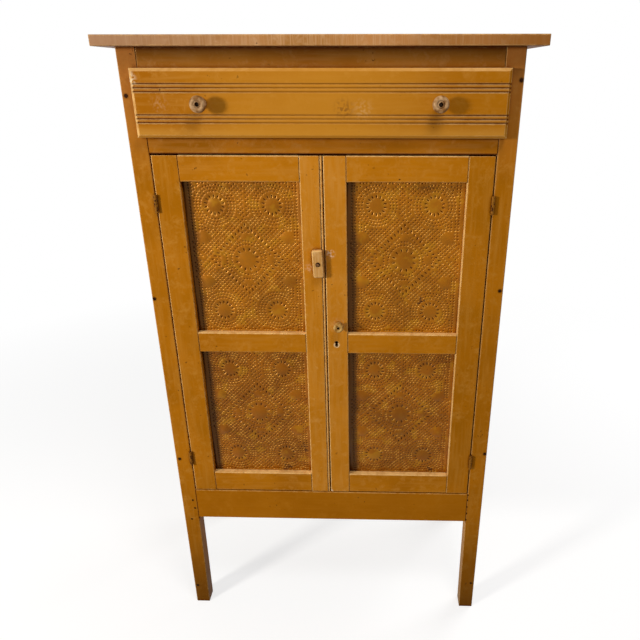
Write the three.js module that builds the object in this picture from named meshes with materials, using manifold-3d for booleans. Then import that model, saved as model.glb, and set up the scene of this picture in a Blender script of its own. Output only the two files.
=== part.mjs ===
// A painted pie safe: a drawer over two doors with punched tins, on four straight legs.
// Millimetres, +Z up. X = 0 is the middle of the width, and the front faces -Y.
// The pieces are made with Y = 0 at the front faces of the posts. At the end the whole
// cabinet moves along Y, so that the origin is the middle of its footprint, on the floor.
// Paired pieces are made for the right side and mirrored for the left side.

import * as THREE from 'three';
import { mergeVertices } from 'three/addons/utils/BufferGeometryUtils.js';
import Module from 'manifold-3d';

const wasm = await Module();
wasm.setup();

// Clearances and cuts
const seatGap = 0.3;
const overrun = 2;
const arris = 1.2;

// Facets round the turned and round pieces
const knobSides = 18;
const smallSides = 12;
const beadSteps = 6;
const reedSteps = 6;

// Punched tins: sheets of tinplate, 10 by 14 inches
const tinWidth = 254;
const tinHeight = 356;
const tinThickness = 0.6;
const tinSideLap = 6;
const tinEndLap = 11;
const tinPlay = 0.5;
const tinSetback = 13.5;

// Punched pattern: five rosettes and a diamond of slits
const rosetteAcrossShare = 0.236;
const rosetteUpShare = 0.329;
const cornerPetalStart = 13;
const cornerPetalEnd = 22.5;
const centrePetalStart = 16.5;
const centrePetalEnd = 27;
const diamondHalfWidth = 70;
const diamondHalfHeight = 76;
const diamondPetalLength = 10;
const petalWidth = 2.8;
const cornerPetals = 14;
const centrePetals = 16;
const petalsPerDiamondSide = 8;

// Door frames
const doorThickness = 20;
const hingeStileWidth = 52.5;
const meetingStileWidth = 46;
const doorTopRailHeight = 51.5;
const doorMiddleRailHeight = 47;
const doorBottomRailHeight = 52.5;
const doorTenonLength = 14;
const doorTenonThickness = 7;
const doorTenonSetback = 4;
const doorTenonShoulder = 6;
const doorSideGap = 2;
const doorEndGap = 3;
const doorMeetingGap = 2;
const beadWidth = 4.6;
const quirkWidth = 1.4;
const quirkDepth = 2.6;

// Case
const postWidth = 37.5;
const postDepth = 34;
const caseDepth = 381;
const legHeight = 296;
const legTaper = 2.5;
const apronHeight = 87;
const middleRailHeight = 43;
const drawerOpeningHeight = 102;
const topRailHeight = 47;
const frontRailThickness = 21;
const frameTenonLength = 18;
const frameTenonThickness = 8;
const frameTenonSetback = 6;
const frameTenonShoulder = 8;
const topThickness = 19;
const topOverhang = 32;
const sideThickness = 12;
const sideSetback = 1.5;
const sideTongue = 8;
const backThickness = 12;
const backSetback = 3;
const backLap = 9;
const backBoardCount = 3;
const shelfThickness = 16;
const shelfFrontGap = 1.5;
const compartmentCount = 3;
const cleatHeight = 25;
const bearerReach = 26;
const bearerHeight = 22;

// Drawer
const drawerLap = 11;
const drawerFrontThickness = 20;
const drawerChamferWidth = 5;
const drawerChamferDepth = 3.5;
const drawerSidePlay = 2;
const drawerTopPlay = 3;
const drawerSideThickness = 12;
const drawerBackThickness = 12;
const drawerBackDrop = 6;
const drawerBackRoom = 51;
const drawerBottomThickness = 6;
const drawerBottomRise = 8;
const drawerGrooveDepth = 5;
const reedPitch = 7;
const reedDepth = 2.2;
const reedBandInset = 34.5;
const reedShoulder = 1.4;
const tailLength = 9;
const tailFlare = 2.4;
const tailCount = 3;
const tailRootShare = 0.27;

// Turned knobs
const drawerKnobRadius = 16;
const drawerKnobLength = 31;
const drawerKnobSpacing = 448;
const doorKnobRadius = 11.5;
const doorKnobLength = 20;
const doorKnobSetIn = 26;
const doorKnobLift = 47;
const knobSpigotLength = 14;

// Turn button and its pivot screw
const buttonLength = 59;
const buttonWidth = 22;
const buttonThickness = 13;
const buttonEdge = 1.6;
const buttonStandoff = 0.5;
const buttonSetIn = 13;
const buttonRise = 599;
const buttonLean = THREE.MathUtils.degToRad(3);
const screwShankRadius = 2.3;
const screwPlay = 0.3;
const screwHeadRadius = 4.5;
const screwHeadHeight = 2.6;
const screwBite = 12;
const screwSlotWidth = 1.2;
const screwSlotDepth = 1.1;

// Lock on the right door
const keyholeSetIn = 20.6;
const keyholeDrop = 1;
const keyholeRadius = 4.2;
const keyholeSlotWidth = 5;
const keyholeLength = 15;
const lockWidth = 34;
const lockHeight = 50;
const lockDepth = 7.4;
const lockRise = 5;
const keySocketDepth = 4;
const boltLength = 24;
const boltHeight = 12;
const boltThickness = 3.6;
const boltRise = 17;
const boltSetback = 0.6;
const boltThrow = 8;
const boltPlay = 0.6;

// Butt hinges
const hingeHeight = 37;
const hingeInset = 96;
const barrelRadius = 3.5;
const pinRadius = 1.6;
const pinPlay = 0.1;
const knucklePlay = 0.4;
const leafWidth = 22;
const leafThickness = 1.5;
const leafGap = 0.4;
const knuckleCount = 3;

// Places across the width, from the middle
const openingWidth = tinWidth - 2 * tinSideLap;
const openingHeight = tinHeight - 2 * tinEndLap;
const doorWidth = meetingStileWidth + openingWidth + hingeStileWidth;
const doorNear = doorMeetingGap / 2;
const doorFar = doorNear + doorWidth;
const openingNear = doorNear + meetingStileWidth;
const openingFar = openingNear + openingWidth;
const openingMiddle = (openingNear + openingFar) / 2;
const halfInside = doorFar + doorSideGap;
const halfCase = halfInside + postWidth;
const sideOuter = halfCase - sideSetback;
const sideInner = sideOuter - sideThickness;
const hingeAcross = doorFar + doorSideGap / 2;

// Heights from the floor
const apronTop = legHeight + apronHeight;
const doorBottom = apronTop + doorEndGap;
const lowerOpeningBottom = doorBottom + doorBottomRailHeight;
const lowerOpeningTop = lowerOpeningBottom + openingHeight;
const upperOpeningBottom = lowerOpeningTop + doorMiddleRailHeight;
const upperOpeningTop = upperOpeningBottom + openingHeight;
const doorTop = upperOpeningTop + doorTopRailHeight;
const middleRailBottom = doorTop + doorEndGap;
const middleRailTop = middleRailBottom + middleRailHeight;
const topRailBottom = middleRailTop + drawerOpeningHeight;
const caseTop = topRailBottom + topRailHeight;
const tinHeights = [lowerOpeningBottom + openingHeight / 2, upperOpeningBottom + openingHeight / 2];
const shelfSpan = (middleRailBottom - apronTop) / compartmentCount;
const lowerShelfTop = apronTop + shelfSpan;
const upperShelfTop = lowerShelfTop + shelfSpan;
const buttonHeight = doorBottom + buttonRise;
const doorMiddleRailMiddle = (lowerOpeningTop + upperOpeningBottom) / 2;
const keyholeHeight = doorMiddleRailMiddle - keyholeDrop;
const doorKnobHeight = keyholeHeight + doorKnobLift;
const hingeHeights = [doorBottom + hingeInset, doorTop - hingeInset];

// Depths from the front faces of the posts
const backFace = caseDepth + seatGap + backThickness;
const hingeDepth = -(barrelRadius + seatGap);
const drawerFrontBack = -seatGap;
const drawerFace = drawerFrontBack - drawerFrontThickness;
const drawerEnd = caseDepth - drawerBackRoom;
const lockFront = doorThickness - seatGap - lockDepth;

// Colours from the photographed finish
const paint = { color: 0xb57b24, roughness: 0.55, metalness: 0 };
const rawWood = { color: 0xa8845a, roughness: 0.8, metalness: 0 };
const paintedTin = { color: 0xa26e1e, roughness: 0.45, metalness: 0.2 };
const paintedIron = { color: 0xa06c22, roughness: 0.5, metalness: 0.3 };
const steel = { color: 0x5d564c, roughness: 0.5, metalness: 0.8 };
const wornKnob = { color: 0xc19a5c, roughness: 0.5, metalness: 0 };

// Helpers: spans are boxes given as [low, high] on each axis
const grown = ({ x, y, z }, by) => ({
  x: [x[0] - by, x[1] + by],
  y: [y[0] - by, y[1] + by],
  z: [z[0] - by, z[1] + by],
});
const about = (middle, size) => [middle - size / 2, middle + size / 2];

// An outline made from a list of [u, v] points
function outlineOf(points) {
  return new THREE.Shape(points.map(([u, v]) => new THREE.Vector2(u, v)));
}

// A rectangle whose four corners are planed off by the arris
function easedRectangle([u0, u1], [v0, v1], ease = arris) {
  return outlineOf([
    [u0 + ease, v0], [u1 - ease, v0], [u1, v0 + ease], [u1, v1 - ease],
    [u1 - ease, v1], [u0 + ease, v1], [u0, v1 - ease], [u0, v0 + ease],
  ]);
}

// A round outline with an even number of sides
function disc(radius, sides) {
  const turn = (2 * Math.PI) / sides;
  const corner = (i) => [radius * Math.cos(i * turn), radius * Math.sin(i * turn)];
  return outlineOf(Array.from({ length: sides }, (_, i) => corner(i)));
}

// Extrudes an outline along one axis. It is drawn as (y, z) for x, (x, z) for y and (x, y) for z.
function along(axis, outline, [from, to]) {
  const geometry = new THREE.ExtrudeGeometry(outline, { depth: to - from, bevelEnabled: false });
  const X = new THREE.Vector3(1, 0, 0);
  const Y = new THREE.Vector3(0, 1, 0);
  const Z = new THREE.Vector3(0, 0, 1);
  geometry.translate(0, 0, axis === 'y' ? -to : from);
  const turn = new THREE.Matrix4();
  if (axis === 'x') turn.makeBasis(Y, Z, X);
  if (axis === 'y') turn.makeBasis(X, Z, Y.negate());
  return geometry.applyMatrix4(turn);
}

// A plain box from a span, used for cuts, tenons and sheets
function box({ x, y, z }) {
  const geometry = new THREE.BoxGeometry(x[1] - x[0], y[1] - y[0], z[1] - z[0]);
  return geometry.translate((x[0] + x[1]) / 2, (y[0] + y[1]) / 2, (z[0] + z[1]) / 2);
}

// A planed board from a span, with eased edges along its grain
function board({ x, y, z }, grain) {
  if (grain === 'x') return along('x', easedRectangle(y, z), x);
  if (grain === 'y') return along('y', easedRectangle(x, z), y);
  return along('z', easedRectangle(x, y), z);
}

// A closed solid for joining and cutting
function solidOf(geometry) {
  const bare = geometry.clone();
  bare.deleteAttribute('normal');
  bare.deleteAttribute('uv');
  const merged = mergeVertices(bare);
  return new wasm.Manifold(new wasm.Mesh({
    numProp: 3,
    vertProperties: new Float32Array(merged.attributes.position.array),
    triVerts: new Uint32Array(merged.index.array),
  }));
}

// The geometry of a solid, with flat faces
function geometryOf(solid) {
  const mesh = solid.getMesh();
  const geometry = new THREE.BufferGeometry();
  geometry.setAttribute('position', new THREE.BufferAttribute(mesh.vertProperties, 3));
  geometry.setIndex(new THREE.BufferAttribute(mesh.triVerts, 1));
  const flat = geometry.toNonIndexed();
  flat.computeVertexNormals();
  return flat;
}

// Cuts pieces away from a geometry
function carve(geometry, ...cutters) {
  return geometryOf(cutters.reduce((rest, cutter) => rest.subtract(solidOf(cutter)), solidOf(geometry)));
}

// Joins geometries into one body
function fuse(...geometries) {
  const [first, ...others] = geometries.map(solidOf);
  return geometryOf(others.reduce((joined, other) => joined.add(other), first));
}

// The mirror image across the middle of the cabinet
function mirrored(geometry) {
  const image = geometry.index ? geometry.toNonIndexed() : geometry.clone();
  const points = image.attributes.position;
  image.deleteAttribute('uv');
  image.scale(-1, 1, 1);
  const a = new THREE.Vector3();
  const b = new THREE.Vector3();
  for (let i = 0; i < points.count; i += 3) {
    a.fromBufferAttribute(points, i + 1);
    b.fromBufferAttribute(points, i + 2);
    points.setXYZ(i + 1, b.x, b.y, b.z);
    points.setXYZ(i + 2, a.x, a.y, a.z);
  }
  image.computeVertexNormals();
  return image;
}

// A turned piece: its profile is [radius, distance along the axis], and its axis lies along Y
function turned(profile, sides) {
  const points = profile.map(([radius, distance]) => new THREE.Vector2(radius, distance));
  return geometryOf(solidOf(new THREE.LatheGeometry(points, sides)));
}

// Adds one named piece to a group
function add(group, name, geometry, finish, place = [0, 0, 0]) {
  const mesh = new THREE.Mesh(geometry, new THREE.MeshStandardMaterial(finish));
  mesh.name = name;
  mesh.position.set(...place);
  group.add(mesh);
  return mesh;
}

// Adds a right-hand piece and its mirror image
function addPair(group, suffix, geometry, finish, [x, y, z] = [0, 0, 0]) {
  add(group, `right_${suffix}`, geometry, finish, [x, y, z]);
  add(group, `left_${suffix}`, mirrored(geometry), finish, [-x, y, z]);
}

// Spans shared by the pieces that meet there
const frontPostSpan = { x: [halfInside, halfCase], y: [0, postDepth], z: [0, caseTop] };
const rearPostSpan = { ...frontPostSpan, y: [caseDepth - postDepth, caseDepth] };
const sideSpan = {
  x: [sideInner, sideOuter],
  y: [postDepth - sideTongue, caseDepth - postDepth + sideTongue],
  z: [legHeight, caseTop],
};
const frontRailHeights = {
  apron: [legHeight, apronTop],
  middle_rail: [middleRailBottom, middleRailTop],
  top_rail: [topRailBottom, caseTop],
};

function frameTenonSpan([bottom, top]) {
  return {
    x: [halfInside - overrun, halfInside + frameTenonLength],
    y: [frameTenonSetback, frameTenonSetback + frameTenonThickness],
    z: [bottom + frameTenonShoulder, top - frameTenonShoulder],
  };
}

// The shallow bed that lets a hinge leaf into the wood, open to the front
function hingeBed(height, side) {
  const inner = leafGap / 2 - seatGap;
  const outer = leafGap / 2 + leafThickness + seatGap;
  return box({
    x: side > 0 ? [hingeAcross + inner, hingeAcross + outer] : [hingeAcross - outer, hingeAcross - inner],
    y: [hingeDepth, hingeDepth + leafWidth + seatGap],
    z: about(height, hingeHeight + 2 * seatGap),
  });
}

// The wedge planed off the inner face of a leg below the apron
function legTaperCut([from, to]) {
  const outline = outlineOf([
    [halfInside - overrun, -overrun],
    [halfInside + legTaper, -overrun],
    [halfInside + legTaper, 0],
    [halfInside, legHeight],
    [halfInside - overrun, legHeight],
  ]);
  return along('y', outline, [from - overrun, to + overrun]);
}

function sideGrooveCut() {
  const span = grown(sideSpan, seatGap);
  return box({ ...span, z: [legHeight - seatGap, caseTop + overrun] });
}

function frontPost() {
  const tenons = Object.values(frontRailHeights).map(frameTenonSpan);
  const mortises = tenons.map((span) => box(grown(span, seatGap)));
  const beds = hingeHeights.map((height) => hingeBed(height, 1));
  return carve(
    board(frontPostSpan, 'z'), legTaperCut(frontPostSpan.y), sideGrooveCut(), ...mortises, ...beds,
  );
}

function rearPost() {
  return carve(board(rearPostSpan, 'z'), legTaperCut(rearPostSpan.y), sideGrooveCut());
}

// A front rail with a tenon at each end
function frontRail(heights) {
  const shoulder = halfInside - seatGap;
  const rail = board({ x: [-shoulder, shoulder], y: [0, frontRailThickness], z: heights }, 'x');
  const tenon = box(frameTenonSpan(heights));
  return fuse(rail, tenon, mirrored(tenon));
}

function topBoard() {
  const halfTop = halfCase + topOverhang;
  const bottom = caseTop + seatGap;
  const z = [bottom, bottom + topThickness];
  return board({ x: [-halfTop, halfTop], y: [-topOverhang, backFace], z }, 'x');
}

// One of the wide boards across the back, lapped over the one below it
function backBoard(index) {
  const pitch = (caseTop - legHeight) / backBoardCount;
  const bottom = legHeight + index * pitch;
  const top = bottom + pitch;
  const inner = caseDepth + seatGap;
  const middle = inner + backThickness / 2;
  const lapTop = index < backBoardCount - 1 ? top + backLap : top;
  const notch = index > 0 ? bottom + backLap + seatGap : bottom;
  const outline = outlineOf([
    [inner, notch], [middle + seatGap, notch], [middle + seatGap, bottom], [backFace, bottom],
    [backFace, top - seatGap], [middle, top - seatGap], [middle, lapTop], [inner, lapTop],
  ]);
  const plain = outlineOf([
    [inner, bottom], [backFace, bottom], [backFace, top - seatGap],
    [middle, top - seatGap], [middle, lapTop], [inner, lapTop],
  ]);
  const half = halfCase - backSetback;
  return along('x', index > 0 ? outline : plain, [-half, half]);
}

// A shelf board, notched round the four posts and resting on the cleats
function shelf(front) {
  const wide = sideInner - seatGap;
  const narrow = halfInside - seatGap;
  const back = caseDepth - seatGap;
  const frontNotch = postDepth + seatGap;
  const backNotch = caseDepth - postDepth - seatGap;
  const half = [
    [narrow, front], [narrow, frontNotch], [wide, frontNotch],
    [wide, backNotch], [narrow, backNotch], [narrow, back],
  ];
  const otherHalf = half.map(([x, y]) => [-x, y]).reverse();
  return along('z', outlineOf([...half, ...otherHalf]), [-shelfThickness, 0]);
}

// The cleat between the posts that carries one end of a shelf
function cleat() {
  const x = [halfInside, sideInner - seatGap];
  const y = [postDepth + seatGap, caseDepth - postDepth - seatGap];
  return board({ x, y, z: [-cleatHeight, 0] }, 'y');
}

// The bearer under or over the drawer side, notched round the posts
function drawerBearer(heights) {
  const x = [halfInside - bearerReach, sideInner - seatGap];
  const y = [frontRailThickness + seatGap, caseDepth - seatGap];
  const posts = [frontPostSpan, rearPostSpan].map((span) => box(grown(span, seatGap)));
  return carve(board({ x, y, z: heights }, 'y'), ...posts);
}

// Door pieces, made for the right door
const doorStileHeights = [doorBottom, doorTop];
const doorRailHeights = {
  bottom_rail: [doorBottom, lowerOpeningBottom],
  middle_rail: [lowerOpeningTop, upperOpeningBottom],
  top_rail: [upperOpeningTop, doorTop],
};

// The two rebates at the back of the door frame that the tins lie in
function tinPockets() {
  return tinHeights.map((height) => box({
    x: about(openingMiddle, tinWidth + 2 * tinPlay),
    y: [tinSetback, doorThickness + overrun],
    z: about(height, tinHeight + 2 * tinPlay),
  }));
}

function doorTenonSpan([bottom, top], stileEdge, direction) {
  const tip = stileEdge + direction * doorTenonLength;
  const root = stileEdge - direction * overrun;
  return {
    x: [Math.min(tip, root), Math.max(tip, root)],
    y: [doorTenonSetback, doorTenonSetback + doorTenonThickness],
    z: [bottom + doorTenonShoulder, top - doorTenonShoulder],
  };
}

function doorMortises(stileEdge, direction) {
  return Object.values(doorRailHeights).map((heights) => (
    box(grown(doorTenonSpan(heights, stileEdge, direction), seatGap))
  ));
}

function hingeStile() {
  const stile = board({ x: [openingFar, doorFar], y: [0, doorThickness], z: doorStileHeights }, 'z');
  const beds = hingeHeights.map((height) => hingeBed(height, -1));
  return carve(stile, ...doorMortises(openingFar, 1), ...tinPockets(), ...beds);
}

function meetingStile(outline) {
  const stile = along('z', outline, doorStileHeights);
  return carve(stile, ...doorMortises(openingNear, -1), ...tinPockets());
}

// The plan of the stile that carries the beaded edge: a round bead beside a narrow quirk
function beadedStileOutline() {
  const radius = beadWidth / 2;
  const bead = Array.from({ length: beadSteps + 1 }, (_, i) => {
    const turn = (Math.PI * i) / beadSteps;
    return [doorNear + radius - radius * Math.cos(turn), radius - radius * Math.sin(turn)];
  });
  const quirkNear = doorNear + beadWidth;
  const quirkFar = quirkNear + quirkWidth;
  return outlineOf([
    [doorNear, doorThickness],
    ...bead,
    [quirkNear, quirkDepth],
    [quirkFar, quirkDepth - arris],
    [quirkFar, 0],
    [openingNear - arris, 0],
    [openingNear, arris],
    [openingNear, doorThickness],
  ].reverse());
}

function doorRail(heights) {
  const x = [openingNear + seatGap, openingFar - seatGap];
  const rail = board({ x, y: [0, doorThickness], z: heights }, 'x');
  const nearTenon = box(doorTenonSpan(heights, openingNear, -1));
  const farTenon = box(doorTenonSpan(heights, openingFar, 1));
  return carve(fuse(rail, nearTenon, farTenon), ...tinPockets());
}

// A slit with pointed ends, centred on [x, z] and lying along a direction
function slit(x, z, direction, length) {
  const tip = [Math.cos(direction) * length / 2, Math.sin(direction) * length / 2];
  const side = [-Math.sin(direction) * petalWidth / 2, Math.cos(direction) * petalWidth / 2];
  return outlineOf([
    [x - tip[0], z - tip[1]], [x + side[0], z + side[1]],
    [x + tip[0], z + tip[1]], [x - side[0], z - side[1]],
  ]);
}

// A ring of slits that point away from its middle
function rosette([x, z], [start, end], petals) {
  const middle = (start + end) / 2;
  return Array.from({ length: petals }, (_, i) => {
    const turn = (2 * Math.PI * (i + 1 / 2)) / petals;
    return slit(x + middle * Math.cos(turn), z + middle * Math.sin(turn), turn, end - start);
  });
}

// A diamond of slits, each square to its side, with one at every corner
function diamond() {
  const corners = [
    [diamondHalfWidth, 0], [0, diamondHalfHeight], [-diamondHalfWidth, 0], [0, -diamondHalfHeight],
  ];
  return corners.flatMap(([x0, z0], side) => {
    const [x1, z1] = corners[(side + 1) % corners.length];
    const square = Math.atan2(z1 - z0, x1 - x0) - Math.PI / 2;
    return Array.from({ length: petalsPerDiamondSide }, (_, i) => {
      const share = i / petalsPerDiamondSide;
      const direction = i === 0 ? Math.atan2(z0, x0) : square;
      return slit(x0 + share * (x1 - x0), z0 + share * (z1 - z0), direction, diamondPetalLength);
    });
  });
}

// A sheet of tinplate, pierced with the pattern, about its own middle
function punchedTin() {
  const sheet = box({ x: about(0, tinWidth), y: [0, tinThickness], z: about(0, tinHeight) });
  const rosetteAcross = tinWidth * rosetteAcrossShare;
  const rosetteUp = tinHeight * rosetteUpShare;
  const corners = [[1, 1], [-1, 1], [-1, -1], [1, -1]];
  const slits = [
    ...rosette([0, 0], [centrePetalStart, centrePetalEnd], centrePetals),
    ...corners.flatMap(([right, up]) => (
      rosette([right * rosetteAcross, up * rosetteUp], [cornerPetalStart, cornerPetalEnd], cornerPetals)
    )),
    ...diamond(),
  ];
  return carve(sheet, ...slits.map((outline) => along('y', outline, [-overrun, tinThickness + overrun])));
}

// Hinge leaves about the hinge axis: the fixed one holds the pin and the outer knuckles
const knuckleEnd = hingeHeight / 2;
const knuckleSplit = hingeHeight / (2 * knuckleCount);

function leafPlate(side, knuckles) {
  const near = leafGap / 2;
  const far = near + leafThickness;
  const x = side > 0 ? [near, far] : [-far, -near];
  const clearOfBarrel = barrelRadius + 2 * seatGap;
  const plate = box({ x, y: [clearOfBarrel, leafWidth], z: [-knuckleEnd, knuckleEnd] });
  const tabs = knuckles.map((z) => box({ x, y: [0, clearOfBarrel + overrun], z }));
  const barrels = knuckles.map((z) => along('z', disc(barrelRadius, smallSides), z));
  return fuse(plate, ...tabs, ...barrels);
}

function postLeaf() {
  const gap = knuckleSplit + knucklePlay / 2;
  const leaf = leafPlate(1, [[-knuckleEnd, -gap], [gap, knuckleEnd]]);
  return fuse(leaf, along('z', disc(pinRadius, smallSides), [-knuckleEnd, knuckleEnd]));
}

function doorLeaf() {
  const gap = knuckleSplit - knucklePlay / 2;
  const bore = along('z', disc(pinRadius + pinPlay, smallSides), [-knuckleEnd, knuckleEnd]);
  return carve(leafPlate(-1, [[-gap, gap]]), bore);
}

// Turned knobs. Shares of the radius and of the length, from the spigot to the face.
const knobProfileShares = [
  [0.66, 0], [0.66, 0.07], [0.5, 0.16], [0.42, 0.34], [0.52, 0.5], [0.86, 0.62],
  [1, 0.74], [1, 0.86], [0.9, 0.97], [0.66, 1], [0.6, 0.95], [0.36, 0.95], [0.3, 1], [0.17, 1], [0.17, 0.8],
];
const knobSpigotShare = 0.34;

function knob(radius, length) {
  const spigot = radius * knobSpigotShare;
  const outside = knobProfileShares.map(([r, distance]) => [radius * r, -length * distance]);
  const deepest = outside[outside.length - 1][1];
  const tail = [[spigot, 0], [spigot, knobSpigotLength], [0, knobSpigotLength]];
  const profile = [[0, deepest], ...outside.reverse(), ...tail];
  return turned(profile, knobSides);
}

function spigotHole(radius, face, x, z) {
  const hole = along('y', disc(radius * knobSpigotShare + seatGap, knobSides), [
    face - overrun, face + knobSpigotLength + seatGap,
  ]);
  return hole.translate(x, 0, z);
}

// Turn button: a short wooden bar with eased edges that turns on one screw
function turnButton() {
  const thick = buttonThickness - 2 * buttonEdge;
  const outline = easedRectangle(
    about(0, buttonWidth - 2 * buttonEdge), about(0, buttonLength - 2 * buttonEdge), buttonEdge,
  );
  const bar = new THREE.ExtrudeGeometry(outline, {
    depth: thick, bevelEnabled: true, bevelThickness: buttonEdge, bevelSize: buttonEdge, bevelSegments: 1,
  });
  bar.rotateX(Math.PI / 2);
  bar.translate(0, -buttonStandoff - buttonEdge, 0);
  const depths = [-buttonStandoff - buttonThickness - overrun, overrun];
  return carve(bar, along('y', disc(screwShankRadius + screwPlay, smallSides), depths));
}

// The pivot screw, with a low domed head and a slot
function buttonScrew() {
  const seat = -(buttonStandoff + buttonThickness + screwPlay);
  const crown = seat - screwHeadHeight;
  const brow = seat - screwHeadHeight / 2;
  const tip = screwBite;
  const taper = screwBite / 3;
  const screw = turned([
    [0, crown], [screwHeadRadius / 2, crown + screwPlay], [screwHeadRadius, brow], [screwHeadRadius, seat],
    [screwShankRadius, seat], [screwShankRadius, tip - taper], [0, tip],
  ], smallSides);
  const slot = box({
    x: about(0, 2 * screwHeadRadius + overrun),
    y: [crown - overrun, crown + screwSlotDepth],
    z: about(0, screwSlotWidth),
  });
  return carve(screw, slot);
}

// Lock pieces on the back of the right meeting stile
const keyholeAcross = doorNear + keyholeSetIn;
const boltTip = doorNear + boltSetback;
const lockSpan = {
  x: about(keyholeAcross, lockWidth),
  y: [lockFront, doorThickness - seatGap],
  z: about(keyholeHeight + lockRise, lockHeight),
};
const boltSpan = {
  x: [boltTip, boltTip + boltLength],
  y: about((lockSpan.y[0] + lockSpan.y[1]) / 2, boltThickness),
  z: about(keyholeHeight + boltRise, boltHeight),
};

// The keyhole: a round hole over a straight slot
function keyholeCut(depths) {
  const drop = keyholeLength - keyholeRadius;
  const half = keyholeSlotWidth / 2;
  const start = -Math.acos(half / keyholeRadius);
  const steps = 12;
  const sweep = Math.PI - 2 * start;
  const round = Array.from({ length: steps + 1 }, (_, i) => {
    const turn = start + (sweep * i) / steps;
    return [keyholeRadius * Math.cos(turn), keyholeRadius * Math.sin(turn)];
  });
  return along('y', outlineOf([[-half, -drop], [half, -drop], ...round]), depths)
    .translate(keyholeAcross, 0, keyholeHeight + keyholeLength / 2 - keyholeRadius);
}

function lockCase() {
  const channel = grown(boltSpan, seatGap);
  return carve(box(lockSpan), box(channel), keyholeCut([lockFront - overrun, lockFront + keySocketDepth]));
}

// Cuts in the right meeting stile: lock pocket, bolt channel, keyhole and knob hole
function lockCuts() {
  const pocket = { ...grown(lockSpan, seatGap), y: [lockFront - seatGap, doorThickness + overrun] };
  const channel = grown(boltSpan, boltPlay);
  return [
    box(pocket),
    box({ ...channel, x: [doorNear - overrun, keyholeAcross] }),
    keyholeCut([-overrun, lockFront + overrun]),
    spigotHole(doorKnobRadius, 0, doorNear + doorKnobSetIn, doorKnobHeight),
  ];
}

// Cuts in the left meeting stile, made on the right and mirrored: bolt mortise and screw hole
function strikeCuts() {
  const channel = grown(boltSpan, boltPlay);
  const depth = boltThrow - boltSetback - doorMeetingGap + boltPlay;
  const screwHole = along('y', disc(screwShankRadius + seatGap, smallSides), [-overrun, screwBite + seatGap]);
  return [
    box({ ...channel, x: [doorNear - overrun, doorNear + depth] }),
    screwHole.translate(doorNear + buttonSetIn, 0, buttonHeight),
  ];
}

// Drawer pieces
const drawerHalf = halfInside - drawerSidePlay;
const drawerFloor = middleRailTop + seatGap;
const drawerRim = topRailBottom - drawerTopPlay;
const drawerMiddle = (middleRailTop + topRailBottom) / 2;
const drawerBottomHalf = drawerHalf - drawerSideThickness + drawerGrooveDepth;
const drawerBottomSpan = {
  x: [-drawerBottomHalf, drawerBottomHalf],
  y: [drawerFrontBack - drawerGrooveDepth, drawerEnd],
  z: about(drawerFloor + drawerBottomRise + drawerBottomThickness / 2, drawerBottomThickness),
};

// One band of reeding: two round reeds between three grooves, cut into the drawer's face
function reedBand(middle) {
  const reed = (index) => Array.from({ length: reedSteps }, (_, i) => {
    const turn = (Math.PI * i) / reedSteps;
    const across = (index - Math.cos(turn) / 2 + 1 / 2) * reedPitch;
    return [drawerFace + reedDepth * (1 - Math.sin(turn)), middle - reedPitch + across];
  });
  return [
    [drawerFace, middle - reedPitch - reedShoulder],
    ...reed(0),
    ...reed(1),
    [drawerFace + reedDepth, middle + reedPitch],
    [drawerFace, middle + reedPitch + reedShoulder],
  ];
}

// The bevel at one end of the drawer front
function endBevelCut(end, heights) {
  const inner = [end - drawerChamferWidth, drawerFace];
  const outer = [end, drawerFace + drawerChamferDepth];
  const run = [outer[0] - inner[0], outer[1] - inner[1]];
  const before = [inner[0] - run[0], inner[1] - run[1]];
  const after = [outer[0] + run[0], outer[1] + run[1]];
  return along('z', outlineOf([before, [after[0], before[1]], after]), heights);
}

// The three tails at the front end of a drawer side, as [y, z] points from the bottom up
function tails(grow) {
  const cell = (drawerRim - drawerFloor) / tailCount;
  return Array.from({ length: tailCount }, (_, i) => {
    const middle = drawerFloor + (i + 1 / 2) * cell;
    const root = cell * tailRootShare + grow;
    const tip = root + tailFlare;
    return [
      [0, middle - root], [-tailLength - grow, middle - tip],
      [-tailLength - grow, middle + tip], [0, middle + root],
    ];
  });
}

function drawerSide() {
  const x = [drawerHalf - drawerSideThickness, drawerHalf];
  const front = tails(0).flat().reverse();
  const outline = outlineOf([
    [0, drawerFloor], [drawerEnd, drawerFloor], [drawerEnd, drawerRim], [0, drawerRim], ...front,
  ]);
  return carve(along('x', outline, x), box(grown(drawerBottomSpan, seatGap)));
}

function drawerFront() {
  const half = halfInside + drawerLap;
  const heights = [middleRailTop - drawerLap, topRailBottom + drawerLap];
  const [bottom, top] = heights;
  const face = drawerFace + drawerChamferDepth;
  const outline = outlineOf([
    [drawerFrontBack, bottom], [face, bottom], [drawerFace, bottom + drawerChamferWidth],
    ...reedBand(bottom + reedBandInset),
    ...reedBand(top - reedBandInset),
    [drawerFace, top - drawerChamferWidth], [face, top], [drawerFrontBack, top],
  ].reverse());
  const x = [drawerHalf - drawerSideThickness - seatGap, drawerHalf + seatGap];
  const sockets = tails(seatGap).map((tail) => along('x', outlineOf([...tail].reverse()), x));
  const cutHeights = [bottom - overrun, top + overrun];
  const rightCuts = [
    endBevelCut(half, cutHeights),
    ...sockets,
    spigotHole(drawerKnobRadius, drawerFace, drawerKnobSpacing / 2, drawerMiddle),
  ];
  const floorGroove = box(grown(drawerBottomSpan, seatGap));
  return carve(along('x', outline, [-half, half]), ...rightCuts, ...rightCuts.map(mirrored), floorGroove);
}

function drawerBack() {
  const half = drawerHalf - drawerSideThickness - seatGap;
  const z = [drawerBottomSpan.z[1] + seatGap, drawerRim - drawerBackDrop];
  return board({ x: [-half, half], y: [drawerEnd - drawerBackThickness, drawerEnd], z }, 'x');
}

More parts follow.
